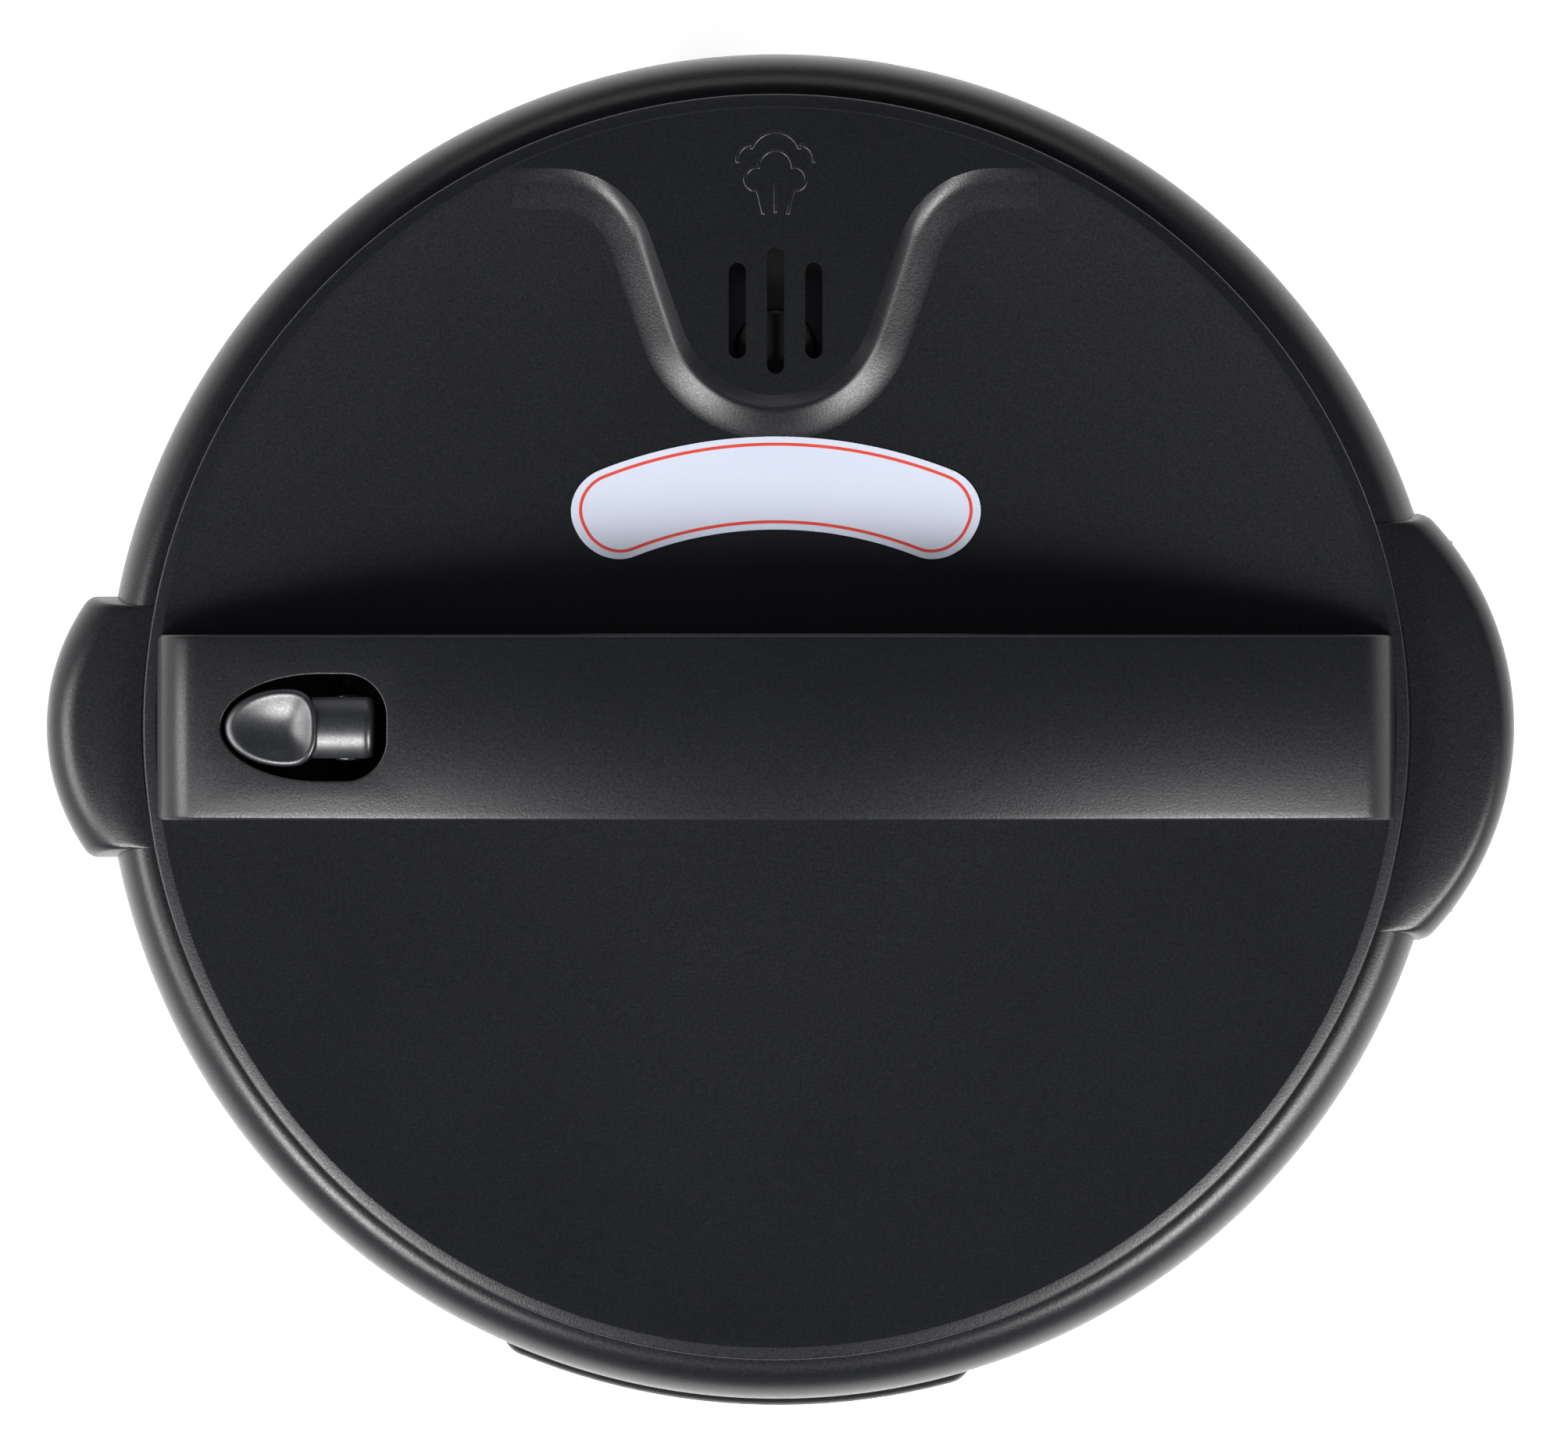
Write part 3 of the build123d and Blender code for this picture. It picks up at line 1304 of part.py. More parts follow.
def lever_pin():
    """Steel pin that the lever rocks on."""
    length = lever_width + 2 * (body_gap + bracket_wall)
    return lever_frame() * Rot(90, 0, 0) * Cylinder(pin_radius, length)


def lever_bracket():
    """Bent bracket on the lid plate that carries the lever's pin."""
    half = lever_width / 2 + body_gap
    drop = lever_top() - lever_thickness / 2 - lid_plate_top
    base = block((-7, 7), (-half - bracket_wall, half + bracket_wall), (-drop, -drop + 1.2))
    for side in (-1, 1):
        span = sorted((side * half, side * (half + bracket_wall)))
        ear = block((-4, 4), span, (-drop, 0)) + cross_rod(4, 0, 0, span)
        base += ear - cross_rod(pin_radius, 0, 0, span)
    return lever_frame() * base


def valve_weight():
    """Pressure weight that sits on the nozzle and is lifted to let steam out."""
    low = lever_top() + lever_gap
    tip = lid_plate_top + nozzle_height
    bore = nozzle_radius + 2 * body_gap
    weight = turned(
        (bore, low), (weight_radius, low, 0.8), (weight_radius, low + weight_height, 1.5),
        (0, low + weight_height), (0, tip + body_gap), (bore - 1.5, tip + body_gap), (bore, tip - 1),
    )
    return Pos(0, valve_y, 0) * weight


def valve_nozzle():
    """Steam nozzle through the lid plate, threaded below."""
    low = lid_plate_low - nozzle_thread_length
    flange_top = lid_plate_top + nozzle_flange
    top = lid_plate_top + nozzle_height
    nozzle = turned(
        (nozzle_bore, low), (nozzle_thread_radius, low), (nozzle_thread_radius, lid_plate_top),
        (nozzle_flange_radius, lid_plate_top), (nozzle_flange_radius, flange_top, 0.4),
        (nozzle_radius, flange_top), (nozzle_radius, top - 2), (nozzle_bore + 0.6, top), (nozzle_bore, top),
    )
    return Pos(0, valve_y, 0) * nozzle


def valve_nut():
    """Nut that holds the nozzle from under the lid plate."""
    low = lid_plate_low - nut_height
    nut = hexagon(7.5, low, lid_plate_low, (0, valve_y))
    return nut - rod(nozzle_thread_radius + seat_gap / 2, low, lid_plate_low, (0, valve_y))


def anti_block_cap():
    """Perforated cap over the nozzle's inlet that keeps food out."""
    low = lid_plate_low - cap_height
    cap = turned(
        (0, low), (cap_radius, low, 2), (cap_radius, lid_plate_low), (cap_radius - cap_wall, lid_plate_low),
        (cap_radius - cap_wall, low + cap_wall, 1), (0, low + cap_wall),
    )
    cap -= rod(1.2, low, low + cap_wall)
    for index in range(8):
        angle = index * 45
        cap -= rod(1.2, low, low + cap_wall, polar(cap_radius * 0.5, angle))
        cap -= radial_rod(1.1, cap_radius - 3, cap_radius + 1, angle, low + cap_height * 0.5)
    return Pos(0, valve_y, 0) * cap


def float_place():
    """Plan position of the float valve."""
    return polar(float_radius_place, float_angle)


def float_seat():
    """Sleeve on the lid plate that guides the float pin."""
    inside = float_pin_radius + body_gap
    return pipe(float_seat_radius, inside, lid_plate_top, lid_plate_top + float_seat_height, float_place())


def float_pin():
    """Float pin that rises when the pot is under pressure."""
    head_low = lid_plate_top + float_seat_height + body_gap
    low = lid_plate_low - float_travel - gasket_height - body_gap
    pin = rod(float_pin_radius, low, head_low, float_place())
    return pin + rod(float_head_radius, head_low, head_low + 2, float_place())


def float_gasket():
    """Silicone ring on the foot of the float pin that seals under the lid plate."""
    high = lid_plate_low - float_travel - body_gap
    return pipe(gasket_radius, float_pin_radius, high - gasket_height, high, float_place())


# ---- Lid: pressed plate and seal -----------------------------------------------------------------
def lid_plate():
    """Pressed steel lid plate with its skirt, inward teeth and welded studs."""
    tooth_low = lid_tooth_top - tooth_thickness
    plate = turned(
        (0, lid_plate_low), (lid_skirt_inside, lid_plate_low, lid_plate_bend), (lid_skirt_inside, tooth_low),
        (lid_skirt_outside, tooth_low),
        (lid_skirt_outside, lid_plate_top, lid_plate_bend + lid_plate_thickness), (0, lid_plate_top),
    )
    for angle in tooth_angles:
        span = (angle - tooth_arc / 2, angle + tooth_arc / 2)
        radii = (lid_skirt_inside - lid_tooth_reach, lid_skirt_inside + 0.5)
        plate += sector(radii, span, (tooth_low, lid_tooth_top))
    plate -= rod(nozzle_thread_radius + seat_gap / 2, lid_plate_low, lid_plate_top, (0, valve_y))
    plate -= rod(float_pin_radius + body_gap, lid_plate_low, lid_plate_top, float_place())
    for at in stud_places:
        plate += rod(stud_radius, lid_plate_top - 0.5, dish_low + nut_height + 1.5, at)
    return plate


def lid_nuts():
    """Nuts on the studs, under the bar handle."""
    nuts = []
    for at in stud_places:
        nut = hexagon(nut_flat_radius, dish_low, dish_low + nut_height, at)
        nuts.append(nut - rod(stud_radius + seat_gap / 2, dish_low, dish_low + nut_height, at))
    return nuts


def seal_rack():
    """Wire ring under the lid plate that carries the sealing ring."""
    low = inner_lip_top + body_gap + seal_height / 2 - 0.6
    near = inner_lip_radius - 8
    rack = pipe(inner_lip_radius + 2.5, near, low, low + 1)
    for angle in tooth_angles:
        rack += rod(1.5, low, lid_plate_low, polar(near + 1.5, angle))
    return rack


def sealing_ring():
    """Silicone ring with a lip above and below the rack, between the lid plate and the inner pot's lip."""
    low = inner_lip_top + body_gap
    middle = inner_lip_radius + 3.2
    far = tooth_radius
    return turned(
        (inner_lip_radius - 8, low), (far, low, 1.5), (far, lid_plate_low, lid_plate_bend + 0.8),
        (inner_lip_radius - 3.5, lid_plate_low),
        (inner_lip_radius - 3.5, lid_plate_low - 2), (middle, lid_plate_low - 2.8), (middle, low + 3.4),
        (inner_lip_radius - 8, low + 1.6),
    )


# ---- Every piece, by node name -------------------------------------------------------------------
pieces = {
    "feet": feet,
    "bottom_cover": bottom_cover,
    "bottom_screws": bottom_screws,
    "base_housing": base_housing,
    "body_shell": body_shell,
    "shell_screws": shell_screws,
    "tie_rods": tie_rods,
    "upper_ring": upper_ring,
    "left_handle": lambda: side_handle(-1, left_reach, left_round, left_half_width),
    "right_handle": lambda: side_handle(1, right_reach, right_round, right_half_width),
    "side_handle_screws": side_handle_screws,
    "outer_pot": outer_pot,
    "inner_pot": inner_pot,
    "heating_plate": heating_plate,
    "heater_element": heater_element,
    "sensor_bracket": sensor_bracket,
    "sensor_cap": sensor_cap,
    "sensor_spring": sensor_spring,
    "pressure_switch": pressure_switch,
    "power_board": power_board,
    "board_posts": board_posts,
    "board_relay": board_relay,
    "board_transformer": board_transformer,
    "inlet_socket": inlet_socket,
    "inlet_pins": inlet_pins,
    "panel_housing": panel_housing,
    "panel_face": panel_face,
    "display_window": display_window,
    "display_module": display_module,
    "control_board": control_board,
    "collector_bracket": collector_bracket,
    "condensate_cup": condensate_cup,
    "lid_cover": lid_cover,
    "label": label,
    "handle_shell": handle_shell,
    "handle_screws": handle_screws,
    "release_button": release_button,
    "button_pin": button_pin,
    "button_spring": button_spring,
    "release_lever": release_lever,
    "lever_pin": lever_pin,
    "lever_bracket": lever_bracket,
    "valve_weight": valve_weight,
    "valve_nozzle": valve_nozzle,
    "valve_nut": valve_nut,
    "anti_block_cap": anti_block_cap,
    "float_seat": float_seat,
    "float_pin": float_pin,
    "float_gasket": float_gasket,
    "lid_plate": lid_plate,
    "lid_nuts": lid_nuts,
    "seal_rack": seal_rack,
    "sealing_ring": sealing_ring,
}
for number in range(len(key_places())):
    pieces[f"key_{number + 1}"] = lambda place=number: panel_key(place)


os.makedirs("parts", exist_ok=True)
for name, make in pieces.items():
    made = make()
    solids = made if isinstance(made, list) else [made]
    shape = Compound(children=[solid for group in solids for solid in group.solids()])
    export_step(shape, f"parts/{name}.step")
    print(name, len(shape.solids()), round(shape.volume, 1))
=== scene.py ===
"""Looks of an electric pressure cooker: modelled covers, finishes, light and camera.

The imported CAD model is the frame. What shows is modelled again here with smooth surfaces and rides
on the same bodies, and the pieces inside keep their CAD shape and get a finish. Sizes are in
millimetres unless a name or a comment says otherwise, and heights are above the table.
"""

import json
import logging
from contextlib import contextmanager
from dataclasses import dataclass
from math import acos, atan2, ceil, cos, degrees, hypot, pi, radians, sin, sqrt, tan
from typing import Any, Callable, Iterator, Sequence

import bmesh
import bpy
from mathutils import Matrix, Vector

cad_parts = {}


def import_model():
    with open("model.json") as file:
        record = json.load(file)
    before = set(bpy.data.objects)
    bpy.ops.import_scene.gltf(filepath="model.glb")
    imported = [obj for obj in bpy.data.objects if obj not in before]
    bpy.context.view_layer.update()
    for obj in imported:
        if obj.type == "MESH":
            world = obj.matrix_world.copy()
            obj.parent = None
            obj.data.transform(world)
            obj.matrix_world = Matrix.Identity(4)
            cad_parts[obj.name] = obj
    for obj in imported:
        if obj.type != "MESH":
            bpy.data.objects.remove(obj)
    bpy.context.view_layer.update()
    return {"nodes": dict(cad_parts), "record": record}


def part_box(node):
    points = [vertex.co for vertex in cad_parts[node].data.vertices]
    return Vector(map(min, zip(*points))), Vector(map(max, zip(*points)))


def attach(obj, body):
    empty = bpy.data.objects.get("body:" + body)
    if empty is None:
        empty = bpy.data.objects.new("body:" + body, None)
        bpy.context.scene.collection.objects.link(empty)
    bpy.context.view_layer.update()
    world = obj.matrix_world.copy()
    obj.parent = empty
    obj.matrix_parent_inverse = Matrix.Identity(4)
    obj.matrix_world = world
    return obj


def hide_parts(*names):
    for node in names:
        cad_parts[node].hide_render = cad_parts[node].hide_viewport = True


LOG = logging.getLogger("pressure_cooker")
MM = 0.001
SAME_PLACE = 0.001 * MM
MERGE_DISTANCE = 0.002 * MM
DEGREES_PER_SEGMENT = 9
ROD_EDGE = 0.4
TO_DISH = 1000.0
SKIRT_GAP = 0.35
HANDLE_LIFT = 0.25
RING_PLANE_DEPTH = 15.0
Corner = tuple[float, float, float]  # radius, height and rounding
Place = tuple[float, float, float]
Point = tuple[float, float]
Piece = bpy.types.Object


# ---- Working by hand -----------------------------------------------------------------------------
def clear_selection() -> None:
    """Leave edit mode and deselect every object."""
    active = bpy.context.view_layer.objects.active
    if active is not None and active.mode != "OBJECT":
        bpy.ops.object.mode_set(mode="OBJECT")
    bpy.ops.object.select_all(action="DESELECT")


def hold(piece: Piece) -> None:
    """Make one piece the only selected and the active object."""
    clear_selection()
    piece.select_set(True)
    bpy.context.view_layer.objects.active = piece


def name_new(name: str) -> Piece:
    """Name the primitive that was just added, and put its place into its mesh."""
    piece = bpy.context.view_layer.objects.active
    piece.name = name
    piece.data.name = name
    bpy.ops.object.transform_apply(location=True, rotation=True, scale=True)
    return piece


@contextmanager
def editing(piece: Piece) -> Iterator[None]:
    """Edit a piece's mesh, with nothing selected at the start."""
    hold(piece)
    bpy.ops.object.mode_set(mode="EDIT")
    bpy.ops.mesh.select_mode(type="VERT")
    bpy.ops.mesh.select_all(action="DESELECT")
    try:
        yield
    finally:
        bpy.ops.object.mode_set(mode="OBJECT")


def pick(kind: str, test: Callable[[Any], bool]) -> None:
    """Select the vertices, edges or faces of the edited mesh that pass a test.

    Args:
        kind: "VERT", "EDGE" or "FACE".
        test: takes one bmesh vertex, edge or face.
    """
    bpy.ops.mesh.select_all(action="DESELECT")
    bpy.ops.mesh.select_mode(type=kind)
    mesh = bmesh.from_edit_mesh(bpy.context.edit_object.data)
    parts = {"VERT": mesh.verts, "EDGE": mesh.edges, "FACE": mesh.faces}[kind]
    for part in parts:
        if test(part):
            part.select_set(True)
    if kind == "VERT":
        mesh.select_flush(True)
    bmesh.update_edit_mesh(bpy.context.edit_object.data)


def tidy_normals() -> None:
    """Merge doubles in the edited mesh and turn all its faces outwards."""
    bpy.ops.mesh.select_all(action="SELECT")
    bpy.ops.mesh.remove_doubles(threshold=MERGE_DISTANCE)
    bpy.ops.mesh.normals_make_consistent(inside=False)


def use_modifier(piece: Piece, kind: str, **settings: Any) -> None:
    """Add a modifier, set it and apply it."""
    hold(piece)
    modifier = piece.modifiers.new(kind.title(), kind)
    for name, value in settings.items():
        setattr(modifier, name, value)
    bpy.ops.object.modifier_apply(modifier=modifier.name)


def smooth(piece: Piece, angle: float = 35.0) -> None:
    """Shade a piece smooth, and keep edges sharper than an angle in degrees."""
    hold(piece)
    bpy.ops.object.shade_smooth_by_angle(angle=radians(angle))


def draw_section(name: str, corners: Sequence[Corner], closed: bool) -> Piece:
    """Draw a half section in the XZ plane by extruding a point and rounding its corners.

    Args:
        name: name of the piece.
        corners: (radius, height, rounding) in millimetres, in order.
        closed: whether the last corner joins the first.

    Returns:
        The wire.
    """
    radius, height, _ = corners[0]
    clear_selection()
    bpy.ops.mesh.primitive_plane_add(size=MM, location=(radius * MM, 0, height * MM))
    wire = name_new(name)
    with editing(wire):
        bpy.ops.mesh.select_all(action="SELECT")
        bpy.ops.mesh.merge(type="CENTER")
        for before, after in zip(corners, corners[1:]):
            step = ((after[0] - before[0]) * MM, 0, (after[1] - before[1]) * MM)
            bpy.ops.mesh.extrude_region_move(TRANSFORM_OT_translate={"value": step})
        if closed:
            ends = [Vector((corner[0], 0, corner[1])) * MM for corner in (corners[0], corners[-1])]
            pick("VERT", lambda vertex: min((vertex.co - end).length for end in ends) < SAME_PLACE)
            bpy.ops.mesh.edge_face_add()
        count = len(corners)
        for index, (radius, height, rounding) in enumerate(corners):
            if not rounding:
                continue
            here = Vector((radius, height))
            back = (Vector(corners[index - 1][:2]) - here).normalized()
            ahead = (Vector(corners[(index + 1) % count][:2]) - here).normalized()
            turn = pi - acos(max(-1.0, min(1.0, back.dot(ahead))))
            spot = Vector((radius, 0, height)) * MM
            pick("VERT", lambda vertex: (vertex.co - spot).length < SAME_PLACE)
            bpy.ops.mesh.bevel(
                offset=rounding * tan(turn / 2) * MM, offset_type="OFFSET", affect="VERTICES",
                segments=max(2, min(12, ceil(degrees(turn) / DEGREES_PER_SEGMENT))), profile=0.5,
                clamp_overlap=True,
            )
    return wire


def lathe(name: str, corners: Sequence[Corner], steps: int, closed: bool = True) -> Piece:
    """Turn a section once round the Z axis with the spin tool.

    Args:
        name: name of the piece.
        corners: (radius, height, rounding) in millimetres round the section.
        steps: how many strips the turned piece has.
        closed: False for a section that starts and ends on the axis.

    Returns:
        The turned piece, closed and with its faces outwards.
    """
    piece = draw_section(name, corners, closed)
    with editing(piece):
        bpy.ops.mesh.select_all(action="SELECT")
        bpy.ops.mesh.spin(steps=steps, angle=2 * pi, center=(0, 0, 0), axis=(0, 0, 1), dupli=False)
        tidy_normals()
    return piece


def cut(piece: Piece, tool: Piece) -> None:
    """Cut a piece with a tool solid, and throw the tool away."""
    use_modifier(piece, "BOOLEAN", object=tool, operation="DIFFERENCE", solver="EXACT")
    bpy.data.objects.remove(tool)


def join(pieces: Sequence[Piece], name: str) -> Piece:
    """Join several meshes into one piece."""
    hold(pieces[0])
    for piece in pieces[1:]:
        piece.select_set(True)
    bpy.ops.object.join()
    pieces[0].name = name
    return pieces[0]


def prism(name: str, outline: Sequence[Point], low: float, high: float) -> Piece:
    """Stand a flat outline up into a solid between two heights, all in millimetres."""
    clear_selection()
    bpy.ops.mesh.primitive_circle_add(vertices=len(outline), radius=MM, fill_type="NGON")
    piece = name_new(name)
    for vertex, (x, y) in zip(piece.data.vertices, outline):
        vertex.co = (x * MM, y * MM, low * MM)
    with editing(piece):
        bpy.ops.mesh.select_all(action="SELECT")
        bpy.ops.mesh.extrude_region_move(TRANSFORM_OT_translate={"value": (0, 0, (high - low) * MM)})
        tidy_normals()
    return piece


def spread(start: float, end: float, count: int) -> list[float]:
    """Evenly spaced values, both ends included."""
    return [start + (end - start) * index / (count - 1) for index in range(count)]


def sag(run: float, radius: float) -> float:
    """How far a circle falls over a distance from its crown."""
    return radius - sqrt(max(radius ** 2 - run ** 2, 0.0))


def arc_radius(reach: float, drop: float) -> float:
    """Radius of the circle that falls by a drop over a reach from its crown."""
    return (reach ** 2 + drop ** 2) / (2 * drop)


def rays(start: float, end: float, count: int) -> list[Vector]:
    """Unit vectors at evenly spaced angles in degrees, both ends included."""
    turns = [radians(angle) for angle in spread(start, end, count)]
    return [Vector((cos(turn), sin(turn))) for turn in turns]


def arc(centre: Point, radius: float, start: float, end: float, count: int) -> list[Point]:
    """Points along an arc, angles in degrees, both ends included."""
    turns = [radians(angle) for angle in spread(start, end, count)]
    return [(centre[0] + radius * cos(turn), centre[1] + radius * sin(turn)) for turn in turns]


# ---- Finishes ------------------------------------------------------------------------------------
def linear(colour: str) -> tuple[float, float, float, float]:
    """Turn an sRGB hex colour into the linear values that shaders take."""
    values = [int(colour[place:place + 2], 16) / 255 for place in (1, 3, 5)]
    red, green, blue = (v / 12.92 if v <= 0.04045 else ((v + 0.055) / 1.055) ** 2.4 for v in values)
    return red, green, blue, 1.0


def add_node(tree: bpy.types.NodeTree, kind: str, sockets: dict | None = None, **settings: Any) -> Any:
    """Add a node to a tree.

    Args:
        tree: the material's or world's node tree.
        kind: Blender's name of the node type.
        sockets: input name or number to a value, or to the output socket that feeds it.
        settings: attributes of the node.

    Returns:
        The node.
    """
    node = tree.nodes.new(kind)
    for name, value in settings.items():
        setattr(node, name, value)
    for name, value in (sockets or {}).items():
        socket = node.inputs[name]
        if isinstance(value, bpy.types.NodeSocket):
            tree.links.new(value, socket)
        else:
            socket.default_value = value
    return node


def per_metre(size: float) -> float:
    """Noise scale for a feature of a size in millimetres."""
    return 1.0 / (size * MM)


class Bench:
    """A material while it is made: its tree, its Principled shader and its Object coordinates."""

    def __init__(self, name: str, values: dict[str, float] | None = None) -> None:
        """Start a material.

        Args:
            name: what the real material is.
            values: constants for the shader's own sockets.
        """
        self.material = bpy.data.materials.new(name)
        self.material.use_nodes = True
        self.tree = self.material.node_tree
        self.tree.nodes.clear()
        self.shader = add_node(self.tree, "ShaderNodeBsdfPrincipled", values)
        add_node(self.tree, "ShaderNodeOutputMaterial", {"Surface": self.shader.outputs["BSDF"]})
        self.place = add_node(self.tree, "ShaderNodeTexCoord").outputs["Object"]

    def noise(self, size: float, detail: float, roughness: float = 0.5) -> Any:
        """Even noise whose features have a size in millimetres."""
        sockets = {"Vector": self.place, "Scale": per_metre(size), "Detail": detail, "Roughness": roughness}
        return add_node(self.tree, "ShaderNodeTexNoise", sockets).outputs["Fac"]

    def spanned(self, value: Any, low: float, high: float, start: float = 0.0, end: float = 1.0) -> Any:
        """A value that runs from low to high while the given one runs from start to end."""
        sockets = {"Value": value, "From Min": start, "From Max": end, "To Min": low, "To Max": high}
        return add_node(self.tree, "ShaderNodeMapRange", sockets).outputs["Result"]

    def product_sum(self, first: Any, second: Any, third: Any) -> Any:
        """First times second plus third."""
        sockets = {0: first, 1: second, 2: third}
        return add_node(self.tree, "ShaderNodeMath", sockets, operation="MULTIPLY_ADD").outputs["Value"]

    def blended(self, value: Any, dark: Vector, light: Vector, start: float = 0.0, end: float = 1.0) -> Any:
        """A colour that runs from dark to light while the value runs from start to end."""
        ramp = add_node(self.tree, "ShaderNodeValToRGB", {"Fac": value})
        for element, position, colour in zip(ramp.color_ramp.elements, (start, end), (dark, light)):
            element.position = position
            element.color = (*colour, 1)
        return ramp.outputs["Color"]

    def shaded(self, value: Any, colour: str, share: float, start: float = 0.0, end: float = 1.0) -> Any:
        """A colour that runs from a darker share of itself to its full tone."""
        base = Vector(linear(colour)[:3])
        return self.blended(value, base * share, base, start, end)

    def finish(
        self, colour: Any, gloss: Any, height: Any = None, strength: float = 1.0, depth: float = 0.0
    ) -> bpy.types.Material:
        """Link what was made to the shader.

        Args:
            colour: base colour socket.
            gloss: roughness socket.
            height: height socket of the surface's relief, if it has one.
            strength: of the relief.
            depth: of the relief, in millimetres.

        Returns:
            The material.
        """
        self.tree.links.new(colour, self.shader.inputs["Base Color"])
        self.tree.links.new(gloss, self.shader.inputs["Roughness"])
        if height is not None:
            sockets = {"Height": height, "Strength": strength, "Distance": depth * MM}
            relief = add_node(self.tree, "ShaderNodeBump", sockets)
            self.tree.links.new(relief.outputs["Normal"], self.shader.inputs["Normal"])
        return self.material


@dataclass(frozen=True)
class MouldedPlastic:
    """Injection moulded ABS or nylon with a spark eroded grain from the mould.

    The grain is a fine, even pitting, so the plastic looks matte and its highlights are wide and soft.
    Slow swings of tone keep a large face from looking flat.
    """

    name: str
    colour: str
    dark: str
    roughness: float = 0.46
    grain: float = 0.55
    depth: float = 0.03
    specular: float = 0.5

    def material(self) -> bpy.types.Material:
        """Build the node material."""
        bench = Bench(self.name, {"Specular IOR Level": self.specular, "IOR": 1.5})
        clouds = bench.noise(45, 2.0)
        speckle = bench.noise(self.grain, 3.0, 0.6)
        fleck = bench.product_sum(speckle, bench.spanned(clouds, 0.25, 0.75, 0.3, 0.7), 0.12)
        colour = bench.blended(fleck, Vector(linear(self.dark)[:3]), Vector(linear(self.colour)[:3]))
        gloss = bench.spanned(speckle, self.roughness - 0.05, self.roughness + 0.05, 0.3, 0.7)
        return bench.finish(colour, gloss, speckle, 1.0, self.depth)


@dataclass(frozen=True)
class BrushedSteel:
    """Stainless sheet brushed round the body, or satin rolled where the brushing is short.

    Fine level scratches stretch the highlights up and down, and the tone varies from scratch to scratch.
    """

    name: str
    colour: str = "#96979a"
    roughness: float = 0.30
    scratch: Point = (60.0, 0.35)

    def material(self) -> bpy.types.Material:
        """Build the node material."""
        bench = Bench(self.name, {"Metallic": 1.0})
        long, fine = (per_metre(size) for size in self.scratch)
        sockets = {"Vector": bench.place, "Scale": (long, long, fine)}
        stretched = add_node(bench.tree, "ShaderNodeMapping", sockets).outputs["Vector"]
        sockets = {"Vector": stretched, "Scale": 1.0, "Detail": 4.0}
        lines = add_node(bench.tree, "ShaderNodeTexNoise", sockets).outputs["Fac"]
        gloss = bench.spanned(lines, self.roughness - 0.06, self.roughness + 0.08, 0.3, 0.7)
        return bench.finish(bench.shaded(lines, self.colour, 0.82, 0.3, 0.7), gloss, lines, 0.6, 0.02)


@dataclass(frozen=True)
class CastMetal:
    """Cast or turned metal: a fine sand grain, or tool marks, under a dull shine."""

    name: str
    colour: str
    roughness: float = 0.4
    grain: float = 1.2
    depth: float = 0.05
    metallic: float = 1.0

    def material(self) -> bpy.types.Material:
        """Build the node material."""
        bench = Bench(self.name, {"Metallic": self.metallic})
        grain, stain = bench.noise(self.grain, 4.0), bench.noise(18, 2.0)
        mixed = bench.product_sum(grain, 0.5, stain)
        colour = bench.shaded(mixed, self.colour, 0.75, 0.45, 0.95)
        gloss = bench.spanned(stain, self.roughness - 0.06, self.roughness + 0.08, 0.3, 0.7)
        return bench.finish(colour, gloss, grain, 0.7, self.depth)


@dataclass(frozen=True)
class ClearPlastic:
    """Clear or smoked moulded plastic, tinted, with slow swings of tone and gloss."""

    name: str
    colour: str
    roughness: float = 0.08
    transmission: float = 0.9

    def material(self) -> bpy.types.Material:
        """Build the node material."""
        bench = Bench(self.name, {"Transmission Weight": self.transmission, "IOR": 1.49})
        flow = bench.noise(14, 2.0)
        gloss = bench.spanned(flow, self.roughness * 0.6, self.roughness * 1.4)
        return bench.finish(bench.shaded(flow, self.colour, 0.92), gloss)


@dataclass(frozen=True)
class CoatedSheet:
    """Printed or lacquered sheet under a clear film: an even colour with a glossy, slightly wavy skin."""

    name: str
    colour: str
    roughness: float = 0.18
    wave: float = 6.0
    depth: float = 0.01

    def material(self) -> bpy.types.Material:
        """Build the node material."""
        bench = Bench(self.name, {"Coat Weight": 0.25, "Coat Roughness": 0.12})
        wave, fibre = bench.noise(self.wave, 2.0), bench.noise(0.4, 3.0)
        gloss = bench.spanned(wave, self.roughness * 0.8, self.roughness * 1.2)
        return bench.finish(bench.shaded(fibre, self.colour, 0.95, 0.3, 0.7), gloss, wave, 0.5, self.depth)


@dataclass(frozen=True)
class SoftRubber:
    """Moulded rubber or silicone: matte, with a faint waxy sheen and a soft, uneven skin."""

    name: str
    colour: str
    roughness: float = 0.6
    translucence: float = 0.0

    def material(self) -> bpy.types.Material:
        """Build the node material."""
        values = {"Subsurface Weight": self.translucence, "Subsurface Scale": 2 * MM, "Sheen Weight": 0.15}
        bench = Bench(self.name, values)
        skin, bloom = bench.noise(1.5, 4.0), bench.noise(12, 2.0)
        gloss = bench.spanned(bloom, self.roughness - 0.08, self.roughness + 0.08)
        return bench.finish(bench.shaded(bloom, self.colour, 0.85), gloss, skin, 0.5, 0.05)


# Node finishes that differ from their slot: the weight and its nozzle wear black nylon over their metal,
# and the pin in the button's well is painted shade: coloured near black with almost no shine, so that it
# reads as the well's shadow.
JACKETS = {"valve_weight": "valve_nylon", "valve_nozzle": "valve_nylon", "button_pin": "pin_painted_shade"}

